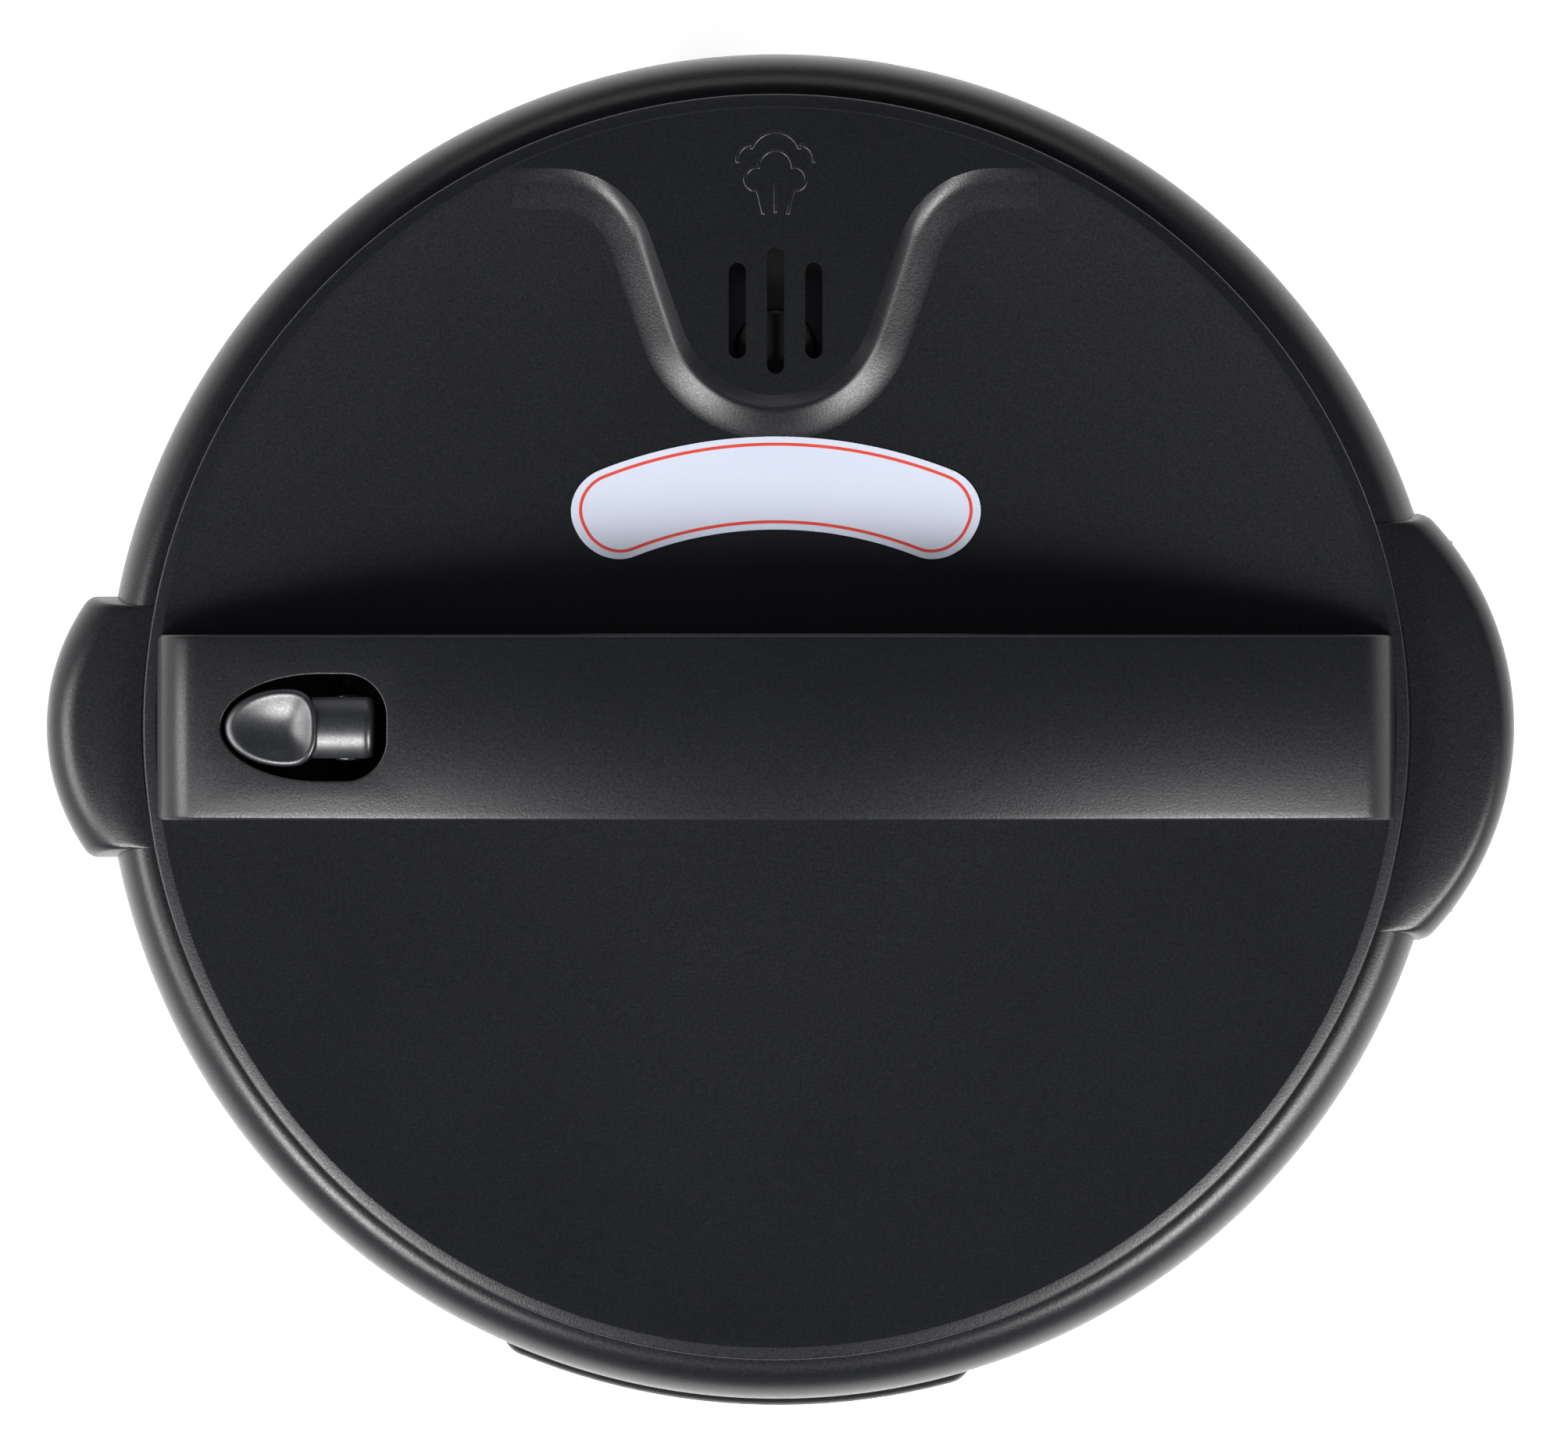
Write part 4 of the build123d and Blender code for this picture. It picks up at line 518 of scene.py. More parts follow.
FINISHES = {
    "black_abs": MouldedPlastic("black_abs_spark_grained", "#191a1e", "#101114", 0.31, specular=0.5),
    "brushed_shell": BrushedSteel("stainless_sheet_brushed"),
    "pressed_steel": BrushedSteel("stainless_sheet_satin", "#b4b4b4", 0.34, (25.0, 0.8)),
    "cast_aluminium": CastMetal("aluminium_cast", "#b7b8ba", 0.42, 1.0),
    "plated_fasteners": CastMetal("steel_zinc_plated", "#b9bcc0", 0.28, 0.6, 0.01),
    # Painted shade: the pin is coloured near black and barely reflects, so that it looks like the shadow in
    # the well.
    "pin_painted_shade": MouldedPlastic("acetal_painted_shade", "#020202", "#010101", 0.9, 0.5, 0.01, 0.03),
    "spring_steel": CastMetal("spring_wire_drawn", "#8e8f92", 0.35, 0.5, 0.01),
    "rubber_feet": SoftRubber("rubber_moulded", "#1d1e1f"),
    "silicone": SoftRubber("silicone_moulded", "#c9cbc8", 0.45, 0.3),
    "panel_gloss": CoatedSheet("polycarbonate_sheet_black", "#0b0b0d", 0.10),
    "display_clear": ClearPlastic("acrylic_smoked", "#3c4046", 0.05, 0.7),
    "cup_clear": ClearPlastic("styrene_acrylonitrile_clear", "#dfe6ea", 0.10, 0.92),
    "key_grey": MouldedPlastic("key_abs_satin", "#63666b", "#4a4d52", 0.35, 0.4, 0.03),
    "circuit_board": CoatedSheet("fibreglass_laminate_green", "#1d5a33", 0.3, 3.0),
    "component_black": MouldedPlastic("component_epoxy_black", "#2a2b2d", "#1c1d1f", 0.4, 0.4, 0.03),
    "transformer_iron": CastMetal("iron_laminations_varnished", "#6b5638", 0.45, 0.5, 0.05, 0.4),
    "button_abs": MouldedPlastic("button_abs_satin", "#202226", "#17181c", 0.33, 0.5, 0.004, 0.9),
    "valve_nylon": MouldedPlastic("nylon_black_satin", "#101113", "#08090a", 0.5, 0.8, 0.03),
    "inner_nylon": MouldedPlastic("nylon_natural", "#cfccc0", "#c2beb1", 0.45, 0.7, 0.05),
    "inlet_brass": CastMetal("brass_stamped", "#c9a552", 0.25, 0.5, 0.01),
    "label_white": CoatedSheet("paper_label_coated", "#c3c9d8", 0.5, 8.0),
    "ink_red": CoatedSheet("printing_ink_red", "#cc3c2c", 0.5, 8.0),
}


class Wardrobe:
    """Makes each finish once and puts it on pieces and on the CAD nodes."""

    def __init__(self, record: dict[str, Any]) -> None:
        """Make the material of every slot in the record.

        Args:
            record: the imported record.
        """
        self.made = {slot: finish.material() for slot, finish in FINISHES.items()}
        self.slot_of = {part["node"]: part["material_slot"] for part in record["subparts"]}

    def dress_nodes(self, nodes: dict[str, Piece]) -> None:
        """Give every CAD node the finish of its slot."""
        for name, node in nodes.items():
            for slot in node.material_slots:
                slot.material = self.made[JACKETS.get(name, self.slot_of[name])]

    def dress(
        self, piece: Piece, slot: str, body: str, replaces: Sequence[str] = (), finish: str | None = None
    ) -> None:
        """Finish a new piece and hang it on its body.

        Args:
            piece: the modelled piece.
            slot: the record's material slot.
            body: the CAD body that it moves with.
            replaces: CAD nodes that it stands for.
            finish: name of its finish, where that isn't the slot's own.
        """
        piece.data.materials.clear()
        piece.data.materials.append(self.made[finish or slot])
        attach(piece, body)
        if replaces:
            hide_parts(*replaces)
        LOG.info("%s: %d faces on %s", piece.name, len(piece.data.polygons), body)


# ---- Curved sheets -------------------------------------------------------------------------------
def surface(name: str, columns: int, rows: int, place: Callable[[int, int], Sequence[float]]) -> Piece:
    """Shape a grid into a curved sheet.

    Args:
        name: name of the piece.
        columns: how many faces it has one way.
        rows: how many it has the other way.
        place: takes a column and a row and gives the point there, in millimetres.

    Returns:
        The sheet, with doubles merged where its edges meet.
    """
    clear_selection()
    bpy.ops.mesh.primitive_grid_add(x_subdivisions=columns, y_subdivisions=rows, size=1)
    piece = name_new(name)
    for vertex in piece.data.vertices:
        column = round((vertex.co.x + 0.5) * columns)
        row = round((vertex.co.y + 0.5) * rows)
        vertex.co = Vector(place(column, row)) * MM
    with editing(piece):
        tidy_normals()
    return piece


def thicken(piece: Piece, wall: float) -> None:
    """Give a sheet a wall on its inner side, and close its edges."""
    use_modifier(piece, "SOLIDIFY", thickness=wall * MM, offset=-1.0, use_even_offset=False)


def face_up(piece: Piece) -> None:
    """Turn an open sheet so that most of it faces up."""
    lift = sum(face.normal.z * face.area for face in piece.data.polygons)
    if lift < 0:
        piece.data.flip_normals()


def ridge(name: str, path: Sequence[Sequence[float]], width: float, rise: float) -> Piece:
    """Lay a low rounded ridge along a path on a surface.

    Args:
        name: name of the piece.
        path: points on the surface, in millimetres.
        width: of the ridge.
        rise: of its crest above the path.

    Returns:
        The closed ridge, its lower half under the surface.
    """
    points = [Vector(point) for point in path]
    last = len(points) - 1
    cap, around = 3, 12

    def place(column: int, row: int) -> Vector:
        """Point on the ridge's skin, with a rounded cap beyond each end."""
        station = min(max(column - cap, 0), last)
        ahead = (points[min(station + 1, last)] - points[max(station - 1, 0)]).normalized()
        past = max(cap - column, column - cap - last, 0) / cap
        here = points[station] + ahead * (1 if column > last else -1) * width / 2 * sin(past * pi / 2)
        girth = cos(past * pi / 2)
        across = Vector((ahead.y, -ahead.x, 0)).normalized()
        angle = 2 * pi * row / around
        side = across * (cos(angle) * width / 2 * girth)
        return here + side + Vector((0, 0, sin(angle) * rise * max(girth, 0.02)))

    piece = surface(name, last + 2 * cap, around, place)
    smooth(piece, 60)
    return piece


def rounded_rod(name: str, radius: float, length: float, middle: Vector, way: Vector) -> Piece:
    """Make a cylinder with rounded edges.

    Args:
        name: name of the piece.
        radius: of the cylinder.
        length: of the cylinder.
        middle: its middle, in millimetres.
        way: direction of its axis.

    Returns:
        The cylinder.
    """
    clear_selection()
    turn = way.to_track_quat("Z", "X").to_euler()
    bpy.ops.mesh.primitive_cylinder_add(
        vertices=64, radius=radius * MM, depth=length * MM, location=middle * MM, rotation=turn
    )
    rod = name_new(name)
    use_modifier(rod, "BEVEL", width=ROD_EDGE * MM, segments=3, limit_method="ANGLE")
    smooth(rod, 40)
    return rod


# ---- Lid cover and vent tongue -------------------------------------------------------------------
@dataclass
class LidCover:
    """Dished lid cover with a bevelled rim, and the vent tongue that rises from it at the rear."""

    wardrobe: Wardrobe
    radius: float
    rim: float
    skirt_low: float
    rim_width: float = 3.6
    rim_drop: float = 0.5
    skirt_lean: float = 0.8
    dish_depth: float = 8.0
    dish_flat: float = 54.0
    dish_rings: tuple[float, ...] = (6.0, 20.0, 38.0)
    dish_end: float = 2.5
    wall: float = 2.5
    steps: int = 288

    @property
    def dish_radius(self) -> float:
        """Radius at which the dish meets its rim."""
        return self.radius - self.rim_width

    def height(self, distance: float) -> float:
        """Height of the dish's surface at a distance from its middle."""
        reach = self.dish_radius - self.dish_flat
        run = min(max(distance - self.dish_flat, 0.0), reach)
        return self.rim - self.dish_depth + sag(run, arc_radius(reach, self.dish_depth))

    def build(self) -> None:
        """Model the cover and the tongue and put them on the lid."""
        tongue = VentTongue(self)
        self.wardrobe.dress(self.cover(tongue), "black_abs", "lid", ["lid_cover"])
        self.wardrobe.dress(tongue.shell(), "black_abs", "lid")
        mark = SteamMark(tongue.slot_middle + tongue.mark_setback, self.rim)
        self.wardrobe.dress(mark.build(), "black_abs", "lid")
        label = LidLabel(self, tongue.centre_y - tongue.label_setback)
        self.wardrobe.dress(label.sheet(), "label_white", "lid", ["label"])
        self.wardrobe.dress(label.border(), "label_white", "lid", finish="ink_red")

    def cover(self, tongue: "VentTongue") -> Piece:
        """Turn the cover, and open it under the tongue's slots.

        Args:
            tongue: the vent tongue, which says where the opening is.

        Returns:
            The cover, closed all round.
        """
        edge_top = self.rim - self.rim_drop
        inside = self.radius - self.wall
        stations = [*self.dish_rings, *spread(self.dish_flat, self.dish_radius - self.dish_end, 32)]
        above = [(distance, self.height(distance), 0.0) for distance in stations]
        below = [(distance, high - self.wall, 0.0) for distance, high, _ in reversed(above)]
        section = [
            (0.0, above[0][1], 0.0), *above, (self.dish_radius, self.rim, 0.6),
            (self.radius - self.skirt_lean, edge_top, 0.5),
            (self.radius, self.skirt_low, 0.6), (inside, self.skirt_low, 0.4),
            (inside, edge_top - 0.8, 0.8), (self.dish_radius - 1.5, self.rim - self.wall, 0.8),
            *below, (0.0, below[-1][1], 0.0),
        ]
        cover = lathe("lid_cover_moulding", section, self.steps, closed=False)
        with editing(cover):
            pick("FACE", lambda face: tongue.covers(face.calc_center_median() / MM))
            bpy.ops.mesh.delete(type="FACE")
            pick("EDGE", lambda edge: edge.is_boundary)
            bpy.ops.mesh.bridge_edge_loops()
            tidy_normals()
        smooth(cover, 30)
        return cover


@dataclass
class VentTongue:
    """Raised tongue at the rear of the lid: a flat floor with slots, and sides that fall to the dish."""

    lid: LidCover
    flare_setback: float = 14.0
    length: float = 29.4
    front_radius: float = 22.2
    side_angle: float = 19.5
    flare_radius: float = 22.6
    slope_run: float = 10.4
    slope_rows: int = 20
    steep_run: float = 0.35
    steep_fall: float = 0.5
    ease: float = 1.4
    sink: float = 0.06
    row_power: float = 1.4
    end_gap: float = 0.6
    foot_gap: float = 0.3
    wall: float = 2.4
    slot_width: float = 3.9
    slot_pitch: float = 8.7
    slot_setback: float = 3.0
    slot_lengths: tuple[float, float, float] = (21.8, 28.7, 21.8)
    opening_margin: float = 4.0
    opening_pitches: float = 1.9
    mark_setback: float = 22.1
    label_setback: float = 140.5

    @property
    def flare_y(self) -> float:
        """Where the flares run level."""
        return self.lid.dish_radius - self.flare_setback

    @property
    def centre_y(self) -> float:
        """Middle of the rounded front."""
        return self.flare_y - self.length

    @property
    def slot_middle(self) -> float:
        """Middle of the slots."""
        return self.centre_y - self.slot_setback

    def outline(self) -> list[tuple[Vector, Vector]]:
        """Trace the tongue's upper edge from its right flare round to its left one.

        Returns:
            Each point with its outward normal.
        """
        lean = radians(self.side_angle)
        flare_y = self.flare_y - self.flare_radius
        drop = flare_y - self.centre_y
        flare_x = (self.front_radius + self.flare_radius + sin(lean) * drop) / cos(lean)
        end_x = sqrt((self.lid.dish_radius - self.end_gap) ** 2 - self.flare_y ** 2)
        half = [(Vector((x, self.flare_y)), Vector((0.0, -1.0))) for x in spread(end_x, flare_x, 8)[:-1]]
        flare = Vector((flare_x, flare_y))
        turns = rays(90, 180 - self.side_angle, 26)
        half += [(flare + ray * self.flare_radius, -ray) for ray in turns]
        side_end = Vector((self.front_radius * cos(lean), self.centre_y - self.front_radius * sin(lean)))
        side_start = half[-1][0]
        outward = Vector((cos(lean), -sin(lean)))
        half += [(side_start.lerp(side_end, share), outward) for share in spread(0, 1, 14)[1:-1]]
        front = Vector((0, self.centre_y))
        half += [(front + ray * self.front_radius, ray) for ray in rays(-self.side_angle, -90, 30)]
        other = [(Vector((-spot.x, spot.y)), Vector((-out.x, out.y))) for spot, out in reversed(half[:-1])]
        return half + other

    def covers(self, place: Vector) -> bool:
        """Whether a place on the cover lies under the slots."""
        reach = max(self.slot_lengths) / 2 + self.opening_margin
        aside = self.slot_pitch * self.opening_pitches
        return abs(place.x) < aside and abs(place.y - self.slot_middle) < reach

    def slope(self, spot: Vector, out: Vector, share: float) -> Vector:
        """Find a point on the sloped side, from the upper edge to the foot in the dish.

        Args:
            spot: point of the upper edge.
            out: outward normal there.
            share: how far down the slope, from 0 to 1.

        Returns:
            The point, in millimetres.
        """
        place = spot + out * (self.slope_run * share)
        distance = min(place.length, self.lid.dish_radius - self.foot_gap)
        place = place.normalized() * distance
        dish = self.lid.height(distance)
        steep = self.steep_fall * max(1 - share / self.steep_run, 0.0) ** 2
        ramp = (1 - self.steep_fall) * (1 - share) ** self.ease
        high = dish + (self.lid.rim - dish) * (steep + ramp) - self.sink * share ** 2
        return Vector((place.x, place.y, high))

    def shell(self) -> Piece:
        """Model the tongue: sloped sides, flat floor, wall and slots.

        Returns:
            The closed shell of the tongue.
        """
        edge = self.outline()
        shares = [share ** self.row_power for share in spread(0, 1, self.slope_rows + 1)]
        sides = surface(
            "vent_tongue_moulding", len(edge) - 1, self.slope_rows,
            lambda column, row: self.slope(*edge[column], shares[row]),
        )
        turn = degrees(atan2(edge[-1][0].y, edge[-1][0].x))
        rear = arc((0, 0), edge[0][0].length, turn, 180 - turn, 60)[1:-1]
        floor = prism("tongue_floor", [tuple(spot) for spot, _ in edge] + rear, self.lid.rim, self.lid.rim)
        with editing(floor):
            tidy_normals()
            pick("FACE", lambda face: face.index > 0)
            bpy.ops.mesh.delete(type="ONLY_FACE")
        piece = join([sides, floor], "vent_tongue_moulding")
        with editing(piece):
            tidy_normals()
        face_up(piece)
        thicken(piece, self.wall)
        for index, length in enumerate(self.slot_lengths):
            middle = (index - (len(self.slot_lengths) - 1) / 2) * self.slot_pitch
            cut(piece, self.slot_tool(middle, length))
        with editing(piece):
            tidy_normals()
        smooth(piece, 28)
        use_modifier(piece, "WEIGHTED_NORMAL", mode="FACE_AREA", keep_sharp=True)
        return piece

    def slot_tool(self, x: float, length: float) -> Piece:
        """Make the cutter of one slot."""
        half = length / 2 - self.slot_width / 2
        ends = arc((x, self.slot_middle + half), self.slot_width / 2, 0, 180, 17)
        ends += arc((x, self.slot_middle - half), self.slot_width / 2, 180, 360, 17)
        return prism("slot_tool", ends, self.lid.rim - 2 * self.wall, self.lid.rim + self.wall)


@dataclass
class SteamMark:
    """Embossed steam cloud on the tongue: an outer cloud, an inner one and a stem of two legs and a bar."""

    foot_y: float
    level: float
    line: float = 1.05
    rise: float = 0.28
    drawn_foot: float = 116.7

    def build(self) -> Piece:
        """Lay every line of the mark as a low ridge.

        Returns:
            The mark, in one piece.
        """
        made = []
        for index, line in enumerate(self.outer() + self.inner()):
            path = [(x, y + self.foot_y - self.drawn_foot, self.level) for x, y in line]
            made.append(ridge(f"mark_{index}", path, self.line, self.rise))
        return join(made, "steam_mark_embossed")

    def outer(self) -> list[list[Point]]:
        """Outer cloud: one top lobe and two side lobes, open below."""
        top = arc((0, 129.3), 5.85, 22, 158, 25)
        right = arc((5.35, 128.9), 3.35, 84, -8, 13)
        left = [(-x, y) for x, y in right]
        return [top, right, left]

    def inner(self) -> list[list[Point]]:
        """Inner cloud with its legs, and the bar between them."""
        top = arc((0, 127.1), 3.9, 0, 180, 21)
        right = arc((4.3, 124.5), 2.65, 98, -96, 25) + [(3.35, 119.2), (2.83, self.drawn_foot)]
        left = [(-x, y) for x, y in right]
        bar = [(0, y) for y in spread(123.4, 117.1, 4)]
        return [top, right, left, bar]


@dataclass
class LidLabel:
    """Bare paper label that follows the dish between the tongue and the handle, with a thin red border."""

    lid: LidCover
    centre_y: float
    middle_radius: float = 98.6
    half_width: float = 10.6
    half_angle: float = 27.5
    corner: float = 10.3
    gap: float = 0.05
    paper: float = 0.3
    border_inset: Point = (1.9, 1.4)
    border_line: float = 0.7
    ink: float = 0.05

    @property
    def half_length(self) -> float:
        """Half its length along its middle line."""
        return radians(self.half_angle) * self.middle_radius

    def spot(self, along: float, across: float, lift: float) -> Vector:
        """Place on the dish for a distance along the label and one across it, outwards.

        Args:
            along: distance from its middle along its middle line.
            across: distance from its middle line, away from the handle.
            lift: height over the dish.
        """
        angle = pi / 2 - along / self.middle_radius
        radius = self.middle_radius + across
        x, y = radius * cos(angle), self.centre_y + radius * sin(angle)
        return Vector((x, y, self.lid.height(hypot(x, y)) + lift))

    def sheet(self) -> Piece:
        """Model the paper.

        Returns:
            The sheet, closed all round.
        """
        turn = [self.half_length - self.corner * (1 - cos(radians(angle))) for angle in spread(0, 85, 14)]
        stations = [-along for along in turn] + spread(2 - turn[-1], turn[-1] - 2, 61) + turn[::-1]

        def place(column: int, row: int) -> Vector:
            """Point on the paper's upper side."""
            along = stations[column]
            past = max(abs(along) - self.half_length + self.corner, 0.0)
            half = self.half_width - sag(past, self.corner)
            return self.spot(along, half * (row / 6 - 1), self.gap + self.paper)

        paper = surface("lid_label_paper", len(stations) - 1, 12, place)
        face_up(paper)
        thicken(paper, self.paper)
        smooth(paper, 40)
        return paper

    def border(self) -> Piece:
        """Model the printed border as a thin ribbon of ink.

        Returns:
            The ribbon, closed all round.
        """
        length = self.half_length - self.border_inset[0]
        width = self.half_width - self.border_inset[1]
        corner = self.corner - sum(self.border_inset) / 2
        edge: list[tuple[Vector, Vector]] = []
        for index, (right, rear) in enumerate(((1, 1), (-1, 1), (-1, -1), (1, -1))):
            centre = Vector((right * (length - corner), rear * (width - corner)))
            edge += [(centre + ray * corner, ray) for ray in rays(90 * index, 90 * index + 90, 13)]
            if right == rear:
                run = 2 * (length - corner) * right
                start, ray = edge[-1]
                edge += [(start - Vector((run * share, 0)), ray) for share in spread(0, 1, 50)[1:-1]]

        def place(column: int, row: int) -> Vector:
            """Point on the ribbon's upper side."""
            point, outward = edge[column % len(edge)]
            point = point - outward * (self.border_line * row)
            return self.spot(point.x, point.y, self.gap + self.paper + self.ink / 2)

        ribbon = surface("lid_label_border", len(edge), 1, place)
        face_up(ribbon)
        thicken(ribbon, self.ink)
        smooth(ribbon, 40)
        return ribbon


# ---- Bar handle and release button ---------------------------------------------------------------
@dataclass
class BarHandle:
    """Arched bar across the lid, with an egg-shaped well for the release button near its left end."""

    wardrobe: Wardrobe
    lid: LidCover
    crest: float
    end_gap: float = 0.4
    half_width: float = 21.0
    end_rise: float = 17.0
    arch_reach: float = 131.6
    crown: float = 1.8
    crown_half: float = 21.3
    edge_round: float = 0.9
    end_round: float = 12.0
    corner: float = 1.5
    foot_dip: float = 0.5
    wall: float = 2.0
    well_setback: float = 38.6
    well_nose: float = 23.1
    well_blunt: float = 14.9
    well_half: float = 12.0
    well_corner: float = 9.5
    well_depth: float = 14.0
    rim_round: float = 0.35
    well_rows: tuple[float, float] = (3.0, 8.0)
    patch: float = 4.0
    patch_margin: float = 6.0
    patch_depth: float = 1.5

    @property
    def half_length(self) -> float:
        """Half the bar's length."""
        return self.lid.dish_radius - self.end_gap

    @property
    def arch(self) -> float:
        """Radius of the arch along the bar."""
        return arc_radius(self.arch_reach, self.end_rise)

    @property
    def well_x(self) -> float:
        """Widest place of the well."""
        return self.well_setback - self.half_length

    def spine(self, x: float) -> float:
        """Height of the bar on its middle line, with its rounded ends."""
        round_x = self.half_length - self.end_round
        inner = self.arch - self.end_round
        if abs(x) < round_x * self.arch / inner:
            return self.crest - sag(x, self.arch)
        return self.crest - sag(round_x, inner) - sag(abs(x) - round_x, self.end_round)

    def top(self, x: float, y: float) -> float:
        """Height of the bar's upper surface, without its rounded long edges."""
        return self.spine(x) - sag(y, arc_radius(self.crown_half, self.crown))

    def width_share(self, x: float) -> float:
        """How wide the bar is at x, as a share of its middle, where its corners are rounded in plan."""
        past = max(self.corner - (self.half_length - abs(x)), 0.0)
        return 1 - sag(past, self.corner) / self.half_width

    def stations(self) -> list[float]:
        """Places along the bar, close together where its ends turn down."""
        falls = [1 - cos(radians(angle)) for angle in spread(0, 72, 19)]
        turn = [self.half_length - self.end_round * fall for fall in falls]
        middle = spread(-turn[-1] + 1.6, turn[-1] - 1.6, 163)
        return [-x for x in turn] + middle + turn[::-1]

    def section(self) -> list[Point]:
        """Section across the bar, front to rear: Y, and how far the point lies under the crowned top.

        A point at the depth TO_DISH stands on the dish.
        """
        edge = self.half_width - self.edge_round
        rounding = [
            (edge + self.edge_round * sin(radians(angle)), self.edge_round * (1 - cos(radians(angle))))
            for angle in spread(0, 84, 9)
        ]
        side = [(self.half_width, depth) for depth in (self.edge_round + 0.3, 4.0, 12.0, TO_DISH)]
        half = [(y, 0.0) for y in spread(0, edge, 15)[:-1]] + rounding + side
        return [(-y, depth) for y, depth in reversed(half[1:])] + half

    def skin(self, x: float, y: float, depth: float) -> Vector:
        """Point of the bar's skin.

        Args:
            x: along the bar.
            y: across it, before its plan corners are rounded.
            depth: under the crowned top.
        """
        across = y * self.width_share(x)
        foot = self.lid.height(min(hypot(x, across), self.lid.dish_radius)) - self.foot_dip
        return Vector((x, across, max(foot, self.top(x, across) - depth)))

    def build(self) -> None:
        """Model the bar and its button, and put them on their bodies."""
        self.wardrobe.dress(self.shell(), "black_abs", "lid", ["handle_shell"])
        button = ReleaseButton(self)
        self.wardrobe.dress(button.build(), "black_abs", "release_button", ["release_button"], "button_abs")

    def shell(self) -> Piece:
        """Model the bar with its well.

        Returns:
            The hollow bar, closed all round.
        """
        stations = self.stations()
        section = self.section()
        ends = len(stations)

        def place(column: int, row: int) -> Vector:
            """Point on the bar, with the end walls carried down to the dish."""
            station = min(max(column - 1, 0), ends - 1)
            spot = self.skin(stations[station], *section[row])
            if station != column - 1:
                spot.z = self.lid.rim - self.foot_dip
            return spot

        bar = surface("bar_handle_moulding", ends + 1, len(section) - 1, place)
        face_up(bar)
        self.open_well(bar)
        thicken(bar, self.wall)
        smooth(bar, 40)
        return bar

    def open_well(self, bar: Piece) -> None:
        """Open the well in the bar's top, with a rounded rim and a wall that goes down."""
        middle = Vector((self.well_x, 0))
        reach = self.well_nose + self.patch + self.patch_margin
        with editing(bar):
            pick("FACE", lambda face: self.in_patch(face.calc_center_median() / MM))
            bpy.ops.mesh.delete(type="FACE")
            pick("EDGE", lambda edge: edge.is_boundary and all(
                abs(vertex.co.x / MM - middle.x) < reach and abs(vertex.co.y / MM) < self.half_width - 1
                for vertex in edge.verts))
            rows: list[Callable[[float], Vector]] = []
            for angle in spread(0, 90, 7):
                grow = self.rim_round * (1 - sin(radians(angle)))
                dip = self.rim_round * (1 - cos(radians(angle)))
                rows.append(lambda turn, grow=grow, dip=dip: self.egg_point(turn, -grow, dip))
            for depth in (*self.well_rows, self.well_depth):
                rows.append(lambda turn, depth=depth: self.egg_point(turn, 0.0, depth))
            self.extrude_loop(bar, middle, rows)

    def in_patch(self, place: Vector) -> bool:
        """Whether a place lies in the patch of the top that is rebuilt round the well."""
        left, right = -self.well_nose - self.patch, self.well_blunt + self.patch
        inside = left < place.x - self.well_x < right and abs(place.y) < self.well_half + self.patch
        return inside and place.z > self.top(place.x, place.y) - self.patch_depth

    def extrude_loop(self, bar: Piece, middle: Vector, rows: Sequence[Callable[[float], Vector]]) -> None:
        """Extrude the selected edge loop once for each row, and lead every vertex along its own ray.

        Args:
            bar: the piece in edit mode.
            middle: where the rays start, in plan.
            rows: each takes the turn of a ray and gives the point of that row.
        """
        for place in rows:
            bpy.ops.mesh.extrude_region_move(TRANSFORM_OT_translate={"value": (0, 0, 0)})
            mesh = bmesh.from_edit_mesh(bar.data)
            for vertex in [vertex for vertex in mesh.verts if vertex.select]:
                spot = vertex.co / MM
                vertex.co = place(atan2(spot.y - middle.y, spot.x - middle.x)) * MM
            bmesh.update_edit_mesh(bar.data)

    def egg(self, turn: float, inset: float = 0.0) -> Vector:
        """Point of the well's outline on a ray from its middle, moved inward by an inset."""
        nose, half, blunt = self.well_nose - inset, self.well_half - inset, self.well_blunt - inset
        corner = self.well_corner - inset
        across, along = sin(turn), cos(turn)
        if along <= 0:
            reach = nose * half / hypot(half * along, nose * across)
            return Vector((self.well_x + reach * along, reach * across))
        reach = min(blunt / along, half / abs(across) if across else blunt / along)
        centre = Vector((blunt - corner, half - corner))
        spot = Vector((reach * along, reach * abs(across)))
        if spot.x > centre.x and spot.y > centre.y:
            ray = Vector((along, abs(across)))
            shadow = centre.dot(ray)
            reach = shadow + sqrt(max(shadow ** 2 - centre.length_squared + corner ** 2, 0.0))
        return Vector((self.well_x + reach * along, reach * across))

    def egg_point(self, turn: float, inset: float, depth: float) -> Vector:
        """Point of the well's wall, at a depth under the bar's top."""
        spot = self.egg(turn, inset)
        return Vector((spot.x, spot.y, self.top(spot.x, spot.y) - depth))


